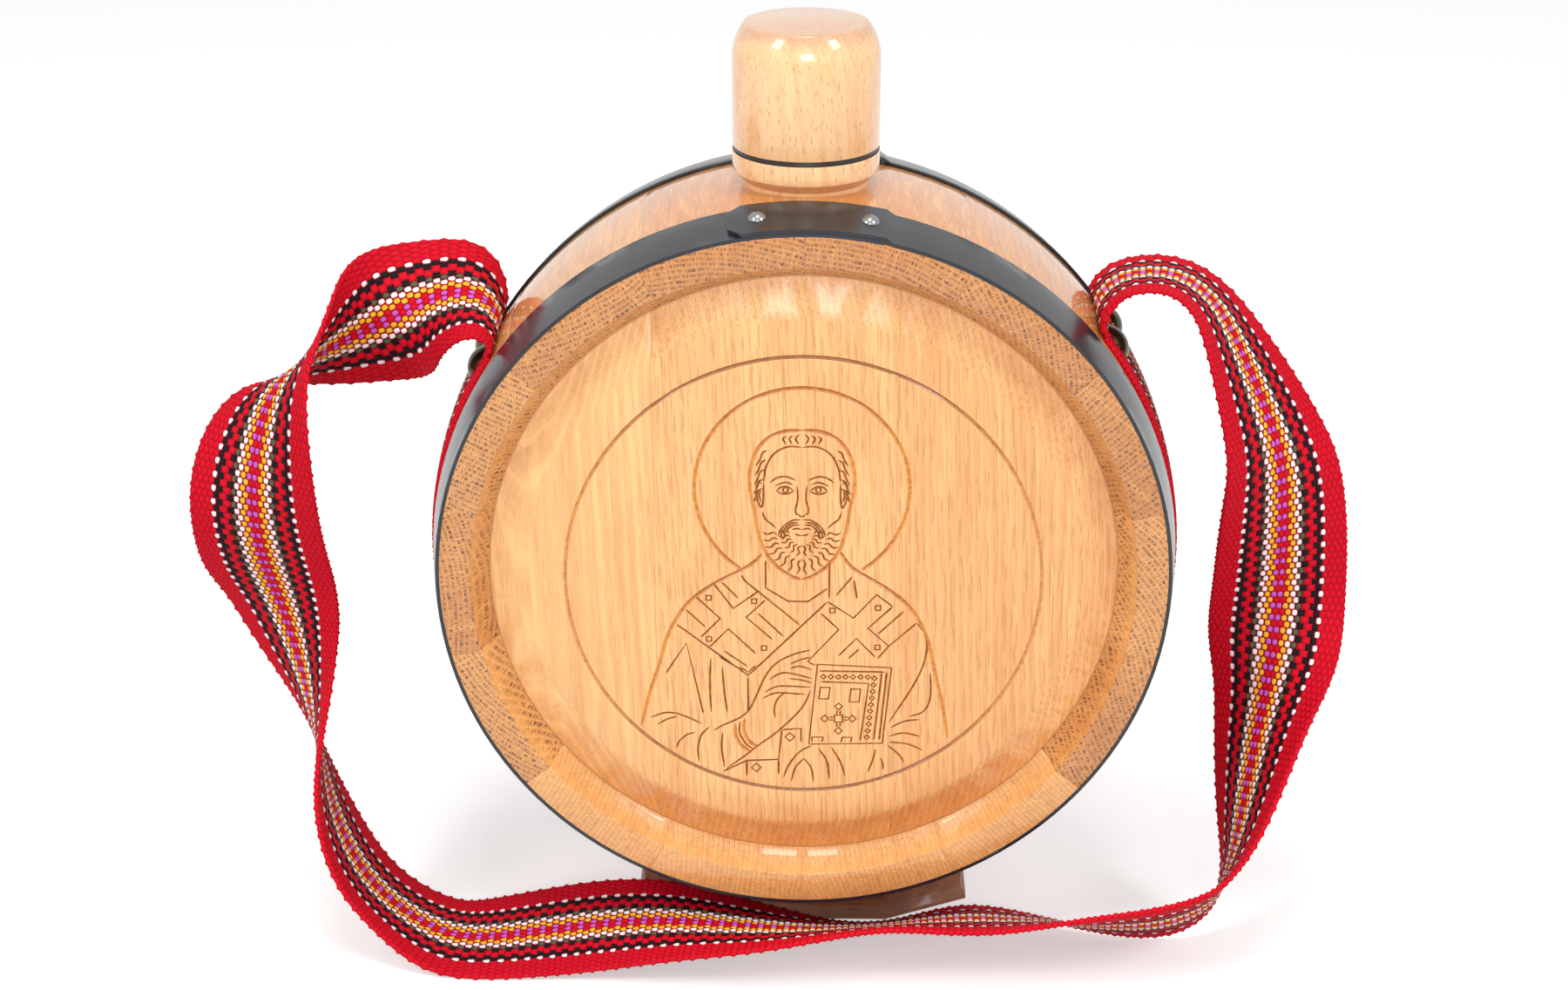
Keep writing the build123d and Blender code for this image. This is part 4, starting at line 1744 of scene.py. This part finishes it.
@dataclass
class Strap:
    """The woven strap: a sling under the barrel and a free loop beside it.

    Args:
        width: Width of the band.
        thickness: Thickness of the band.
        right_turn: Where the right tacks sit, in degrees clockwise from the top.
        left_turn: Where the left tacks sit.
        tack_to_bend: How far above the tacks the band leaves the barrel.
        lead: Length of the stretch that still lies along the barrel there.
        bead_step: Distance from bead to bead along a column.
        bead_lift: How far a bead stands out of the band's plain face.
        bead_sink: How deep the gaps between beads lie.
        edge_swell: How far the beads at the edges stand out sideways.
        steps_per_row: Curve points worked out for each row of the way.
    """

    width: float = 42.0 * MM
    thickness: float = 1.5 * MM
    right_turn: float = 55.0
    left_turn: float = -59.5
    tack_to_bend: float = 6.5 * MM
    lead: float = 3.0 * MM
    bead_step: float = 4.2 * MM
    bead_lift: float = 0.34 * MM
    bead_sink: float = 0.24 * MM
    edge_swell: float = 0.3 * MM
    steps_per_row: int = 24

    # How the loop lies, from the left tacks to the right ones. Each row is a place on its middle
    # line and the direction across it from the edge that starts in front. Places are shares of the
    # belly radius from the barrel's centre, but a height below the centre is a share of the axis height.
    way_shares = (
        (-0.83, 0.00, 0.61, 0.03, 0.98, 0.15),
        (-0.85, -0.005, 0.655, 0.00, 0.94, 0.30),
        (-0.915, -0.01, 0.685, 0.00, 0.87, 0.48),
        (-1.02, 0.005, 0.65, -0.05, 0.71, 0.70),
        (-1.13, -0.005, 0.595, 0.05, 0.00, 1.00),
        (-1.22, -0.035, 0.56, 0.10, -0.35, 0.93),
        (-1.31, -0.10, 0.53, 0.30, -0.67, 0.67),
        (-1.395, -0.185, 0.485, 0.63, -0.69, 0.35),
        (-1.435, -0.25, 0.375, 0.82, -0.50, 0.25),
        (-1.465, -0.275, 0.20, 0.95, -0.26, 0.15),
        (-1.465, -0.235, 0.04, 0.97, -0.20, 0.12),
        (-1.46, -0.16, -0.075, 0.95, -0.25, 0.17),
        (-1.445, -0.10, -0.175, 0.87, -0.46, 0.20),
        (-1.42, -0.085, -0.285, 0.70, -0.57, 0.42),
        (-1.37, -0.135, -0.455, 0.33, -0.81, 0.48),
        (-1.34, -0.225, -0.66, -0.06, -0.92, 0.39),
        (-1.255, -0.28, -0.84, -0.22, -0.92, 0.32),
        (-1.15, -0.31, -0.93, -0.19, -0.96, 0.19),
        (-1.015, -0.36, -0.985, -0.07, -1.00, 0.00),
        (-0.89, -0.385, -0.985, 0.05, -1.00, -0.06),
        (-0.655, -0.37, -0.955, 0.23, -0.96, -0.14),
        (-0.39, -0.40, -0.91, 0.19, -0.97, -0.10),
        (-0.14, -0.425, -0.92, 0.06, -0.98, 0.17),
        (0.06, -0.435, -0.92, 0.00, -0.90, 0.43),
        (0.245, -0.43, -0.91, -0.03, -0.85, 0.53),
        (0.44, -0.425, -0.885, -0.05, -0.96, 0.30),
        (0.625, -0.435, -0.89, -0.08, -0.90, 0.43),
        (0.815, -0.455, -0.885, -0.10, -0.78, 0.62),
        (1.01, -0.47, -0.875, -0.18, -0.69, 0.70),
        (1.135, -0.445, -0.82, -0.15, -0.78, 0.60),
        (1.18, -0.40, -0.755, -0.05, -0.86, 0.50),
        (1.21, -0.34, -0.65, 0.22, -0.87, 0.45),
        (1.255, -0.225, -0.46, 0.52, -0.75, 0.41),
        (1.29, -0.155, -0.345, 0.72, -0.62, 0.32),
        (1.305, -0.10, -0.175, 1.00, -0.05, 0.02),
        (1.295, -0.15, 0.02, 0.97, 0.20, -0.10),
        (1.275, -0.185, 0.245, 0.87, 0.46, -0.17),
        (1.24, -0.155, 0.37, 0.77, 0.63, -0.10),
        (1.12, -0.065, 0.625, 0.47, 0.86, -0.17),
        (1.065, -0.035, 0.69, 0.38, 0.92, -0.13),
        (1.005, -0.015, 0.73, 0.29, 0.95, -0.09),
        (0.94, 0.00, 0.74, 0.22, 0.97, -0.06),
        (0.88, 0.005, 0.735, 0.14, 0.99, -0.06),
        (0.83, 0.01, 0.715, 0.07, 1.00, -0.05),
        (0.795, 0.005, 0.685, 0.03, 1.00, -0.05),
    )

    # The stripes from an edge to the middle: the dyes of their columns and the share of the band's
    # width that they take together. The other half mirrors them, but for the middle one.
    half_stripes = (
        ((Dye.RED,) * 8, 0.178),
        ((Dye.WHITE, Dye.BLACK, Dye.BLACK), 0.067),
        ((Dye.RED, Dye.RED), 0.067),
        ((Dye.BLACK, Dye.OLIVE), 0.046),
        ((Dye.WHITE, Dye.WHITE), 0.048),
        ((Dye.YELLOW, Dye.YELLOW), 0.048),
    )
    middle_stripe = ((Dye.PURPLE, Dye.RED, Dye.PURPLE, Dye.RED), 0.092)

    # How high the weave stands as its rows go by, from the top of one bead to just before the next.
    bead_profile = (1.0, 0.15, 0.0, 0.15)

    @property
    def columns(self) -> list[tuple[Dye, float]]:
        """The columns of beads from edge to edge.

        Returns:
            The dye of each one, and its place across the band from 0 to 1.
        """
        mirrored = tuple((dyes[::-1], share) for dyes, share in reversed(self.half_stripes))
        runs = (*self.half_stripes, self.middle_stripe, *mirrored)
        dyes = [dye for run, _ in runs for dye in run]
        wide = [share / len(run) for run, share in runs for _ in run]
        places = [0.0]
        for here, there in zip(wide, wide[1:]):
            places.append(places[-1] + (here + there) / 2)
        return [(dye, place / places[-1]) for dye, place in zip(dyes, places)]

    def bend_turn(self, side: int) -> float:
        """Where the band leaves the barrel, in degrees. Side is -1 at the left and 1 at the right."""
        tack_turn = self.right_turn if side > 0 else self.left_turn
        return tack_turn - side * degrees(self.tack_to_bend / (BARREL.belly_radius + self.thickness))

    def guides(self) -> tuple[list[Vector], list[Vector]]:
        """The points that guide the loop.

        Returns:
            The places that its middle line follows, and the directions across it there.
        """
        places = []
        across = []
        for x, y, z, *wide in self.way_shares:
            height = BARREL.axis_height + z * (BARREL.belly_radius if z > 0 else BARREL.axis_height)
            places.append(Vector((x * BARREL.belly_radius, y * BARREL.belly_radius, height)))
            across.append(Vector(wide))
        leads = []
        for side in (-1, 1):
            turn = self.bend_turn(side)
            root = BARREL.centre + BARREL.outward(turn) * (BARREL.belly_radius + self.thickness / 2)
            upward = BARREL.outward(turn - 90) * (side * self.lead)
            leads.append([root - upward, root, root + upward])
        ends = [Vector((0, 1, 0))] * 3
        return leads[0] + places + leads[1][::-1], ends + across + ends

    @staticmethod
    def smooth(guides: list[Vector], share: float, index: int) -> Vector:
        """A point of the smooth curve that four guides draw.

        Args:
            guides: All the guides.
            share: How far the point lies from the second of the four to the third.
            index: Which guide is the second.

        Returns:
            The point.
        """
        rest = 1 - share
        weights = (
            rest**3 / 6,
            (3 * share**3 - 6 * share**2 + 4) / 6,
            (3 * rest**3 - 6 * rest**2 + 4) / 6,
            share**3 / 6,
        )
        total = Vector((0, 0, 0))
        for weight, guide in zip(weights, guides[index - 1 : index + 3]):
            total += guide * weight
        return total

    def loop_stations(self) -> list[Station]:
        """Even steps along the loop, from the left tacks to the right ones.

        Returns:
            A place, the direction across and the direction out at each.
        """
        guides = self.guides()
        last = len(guides[0]) - 3
        shares = [step / self.steps_per_row for step in range(self.steps_per_row)]
        spots = [(share, index) for index in range(1, last + 1) for share in shares]
        fine = [[self.smooth(row, *spot) for row in guides] for spot in (*spots, (1.0, last))]
        lengths = [0.0]
        for (here, _), (there, _) in zip(fine, fine[1:]):
            lengths.append(lengths[-1] + (there - here).length)
        rows = len(self.bead_profile) * round(lengths[-1] / self.bead_step)
        even = []
        cursor = 0
        for row in range(rows + 1):
            target = lengths[-1] * row / rows
            while cursor < len(fine) - 2 and lengths[cursor + 1] < target:
                cursor += 1
            share = (target - lengths[cursor]) / (lengths[cursor + 1] - lengths[cursor])
            even.append([here.lerp(there, share) for here, there in zip(fine[cursor], fine[cursor + 1])])
        stations = []
        for row, (place, wide) in enumerate(even):
            heading = (even[min(row + 1, rows)][0] - even[max(row - 1, 0)][0]).normalized()
            wide = (wide - heading * wide.dot(heading)).normalized()
            stations.append((place, wide, heading.cross(wide)))
        return stations

    def sling_stations(self) -> list[Station]:
        """Even steps along the sling, from the right tacks under the barrel to the left ones.

        Returns:
            A place, the direction across and the direction out at each.
        """
        start = self.bend_turn(1)
        end = 360 + self.bend_turn(-1)
        radius = BARREL.belly_radius + self.thickness / 2
        rows = len(self.bead_profile) * round(radians(end - start) * radius / self.bead_step)
        stations = []
        for row in range(rows + 1):
            outward = BARREL.outward(start + (end - start) * row / rows)
            stations.append((BARREL.centre + outward * radius, Vector((0, 1, 0)), outward))
        return stations

    def phase(self, side: int, row: int, column: int) -> int:
        """How many rows past a bead's top a point lies. Side is 0 outside and 1 inside."""
        period = len(self.bead_profile)
        return (row + (period // 2) * ((column + side) % 2)) % period

    def weave_points(self, stations: list[Station], hugging: bool) -> list[Vector]:
        """The points of the band's outer side and then of its inner side, row by row.

        Args:
            stations: Where the rows lie.
            hugging: Whether the band follows the barrel's bulge and is flat against it.

        Returns:
            The points.
        """
        columns = self.columns
        last = len(columns) - 1
        points = []
        for side, outward in ((0, 1.0), (1, -1.0)):
            for row, (place, wide, out) in enumerate(stations):
                for column, (_, share) in enumerate(columns):
                    height = 0.0
                    if not (side and hugging):
                        swell = self.bead_profile[self.phase(side, row, column)]
                        height = swell * (self.bead_lift + self.bead_sink) - self.bead_sink
                    offset = (share - 0.5) * self.width
                    if column in (0, last) and row % 2 == 0:
                        offset += self.edge_swell if column else -self.edge_swell
                    point = place + wide * offset + out * (outward * (self.thickness / 2 + height))
                    if hugging:
                        point += out * (BARREL.surface_radius(offset) - BARREL.belly_radius)
                    points.append(point)
        return points

    def side_faces(self, row_count: int) -> list[Patch]:
        """The faces of the band's two sides.

        Args:
            row_count: How many rows the band has.

        Returns:
            For each face its corners, its dye and where the corners lie on its bead, in columns
            and rows from the bead's top.
        """
        columns = self.columns
        wide_count = len(columns)
        faces = []
        for side in range(2):
            for row in range(row_count - 1):
                for column in range(wide_count - 1):
                    spots = ((row, column), (row, column + 1), (row + 1, column + 1), (row + 1, column))
                    top_row, top_column = next(spot for spot in spots if self.phase(side, *spot) == 0)
                    if side:
                        spots = spots[::-1]
                    corners = [(side * row_count + line) * wide_count + place for line, place in spots]
                    lay = [(float(place - top_column), float(line - top_row)) for line, place in spots]
                    faces.append((corners, columns[top_column][0], lay))
        return faces

    def rim_faces(self, row_count: int) -> list[Patch]:
        """The narrow faces round the band's edge, described in the same way.

        Args:
            row_count: How many rows the band has.

        Returns:
            The faces.
        """
        columns = self.columns
        wide_count = len(columns)
        last_row, last = row_count - 1, wide_count - 1
        rim = [(row, 0) for row in range(row_count)]
        rim += [(last_row, column) for column in range(1, wide_count)]
        rim += [(row, last) for row in range(last_row - 1, -1, -1)]
        rim += [(0, column) for column in range(last - 1, 0, -1)]
        faces = []
        for here, there in zip(rim, rim[1:] + rim[:1]):
            first, second = (row * wide_count + column for row, column in (here, there))
            corners = [first, second, second + row_count * wide_count, first + row_count * wide_count]
            lay = [(0.0, float(row % 2)) for row, _ in (here, there, there, here)]
            faces.append((corners, columns[min(here[1], there[1])][0], lay))
        return faces

    def woven(self, name: str, stations: list[Station], hugging: bool) -> Piece:
        """Weave a band of beads.

        Each column holds one bead to every four rows, and the next column's beads lie between them.

        Args:
            name: The piece's name.
            stations: Where the rows lie.
            hugging: Whether the band follows the barrel's bulge and is flat against it.

        Returns:
            The band, with its dyes and a map of the places on each bead.
        """
        faces = self.side_faces(len(stations)) + self.rim_faces(len(stations))
        mesh = bpy.data.meshes.new(name)
        mesh.from_pydata(self.weave_points(stations, hugging), [], [corners for corners, _, _ in faces])
        for layer in ("dye", "gap"):
            shown = {dye: (*(dye.bead if layer == "dye" else dye.gap), 1.0) for dye in Dye}
            flat = [part for _, dye, _ in faces for _ in range(4) for part in shown[dye]]
            mesh.color_attributes.new(layer, "FLOAT_COLOR", "CORNER").data.foreach_set("color", flat)
        spots = [part for _, _, lay in faces for spot in lay for part in spot]
        mesh.uv_layers.new(name="lay").data.foreach_set("uv", spots)
        mesh.update()
        band = new_piece(name, mesh)
        point_outwards()
        bpy.ops.object.shade_smooth()
        return band

    @staticmethod
    def length_of(stations: list[Station]) -> float:
        """Length of a stretch of the band."""
        places = [place for place, _, _ in stations]
        return sum((there - here).length for here, there in zip(places, places[1:]))

    def build(self) -> None:
        """Weave the loop and the sling."""
        yarn = Yarn("woven_yarn").make()
        way = self.loop_stations()
        loop = self.woven("strap_loop_weave", way, False)
        mounted(loop, "barrel", "strap_weave", yarn, "strap_loop")
        way = self.sling_stations()
        sling = self.woven("strap_sling_weave", way, True)
        mounted(sling, "barrel", "strap_weave", yarn, "strap_sling")


@dataclass
class Tacks:
    """The domed tacks that hold the strap.

    Args:
        bronze: Their finish.
    """

    bronze: Metal = Metal(
        name="antique_bronze",
        colour=paint(92, 78, 52),
        worn=paint(48, 40, 30),
        metallic=1.0,
        roughness=0.34,
        coat=0.2,
    )

    def build(self) -> None:
        """Dress both pairs."""
        metal = self.bronze.make()
        for side in ("left", "right"):
            dressed(f"{side}_strap_tacks", f"{side}_strap_tack_heads", "barrel", "tack_bronze", metal, 0.0)


def main() -> None:
    """Build the flask piece by piece."""
    logging.basicConfig(level=logging.INFO, format="%(name)s: %(message)s")
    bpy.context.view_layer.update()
    for part in (Studio(), StaveRing(), Heads(), Hoops(), NeckAndCap(), Foot(), Strap(), Tacks()):
        part.build()


if __name__ == "__main__":
    main()
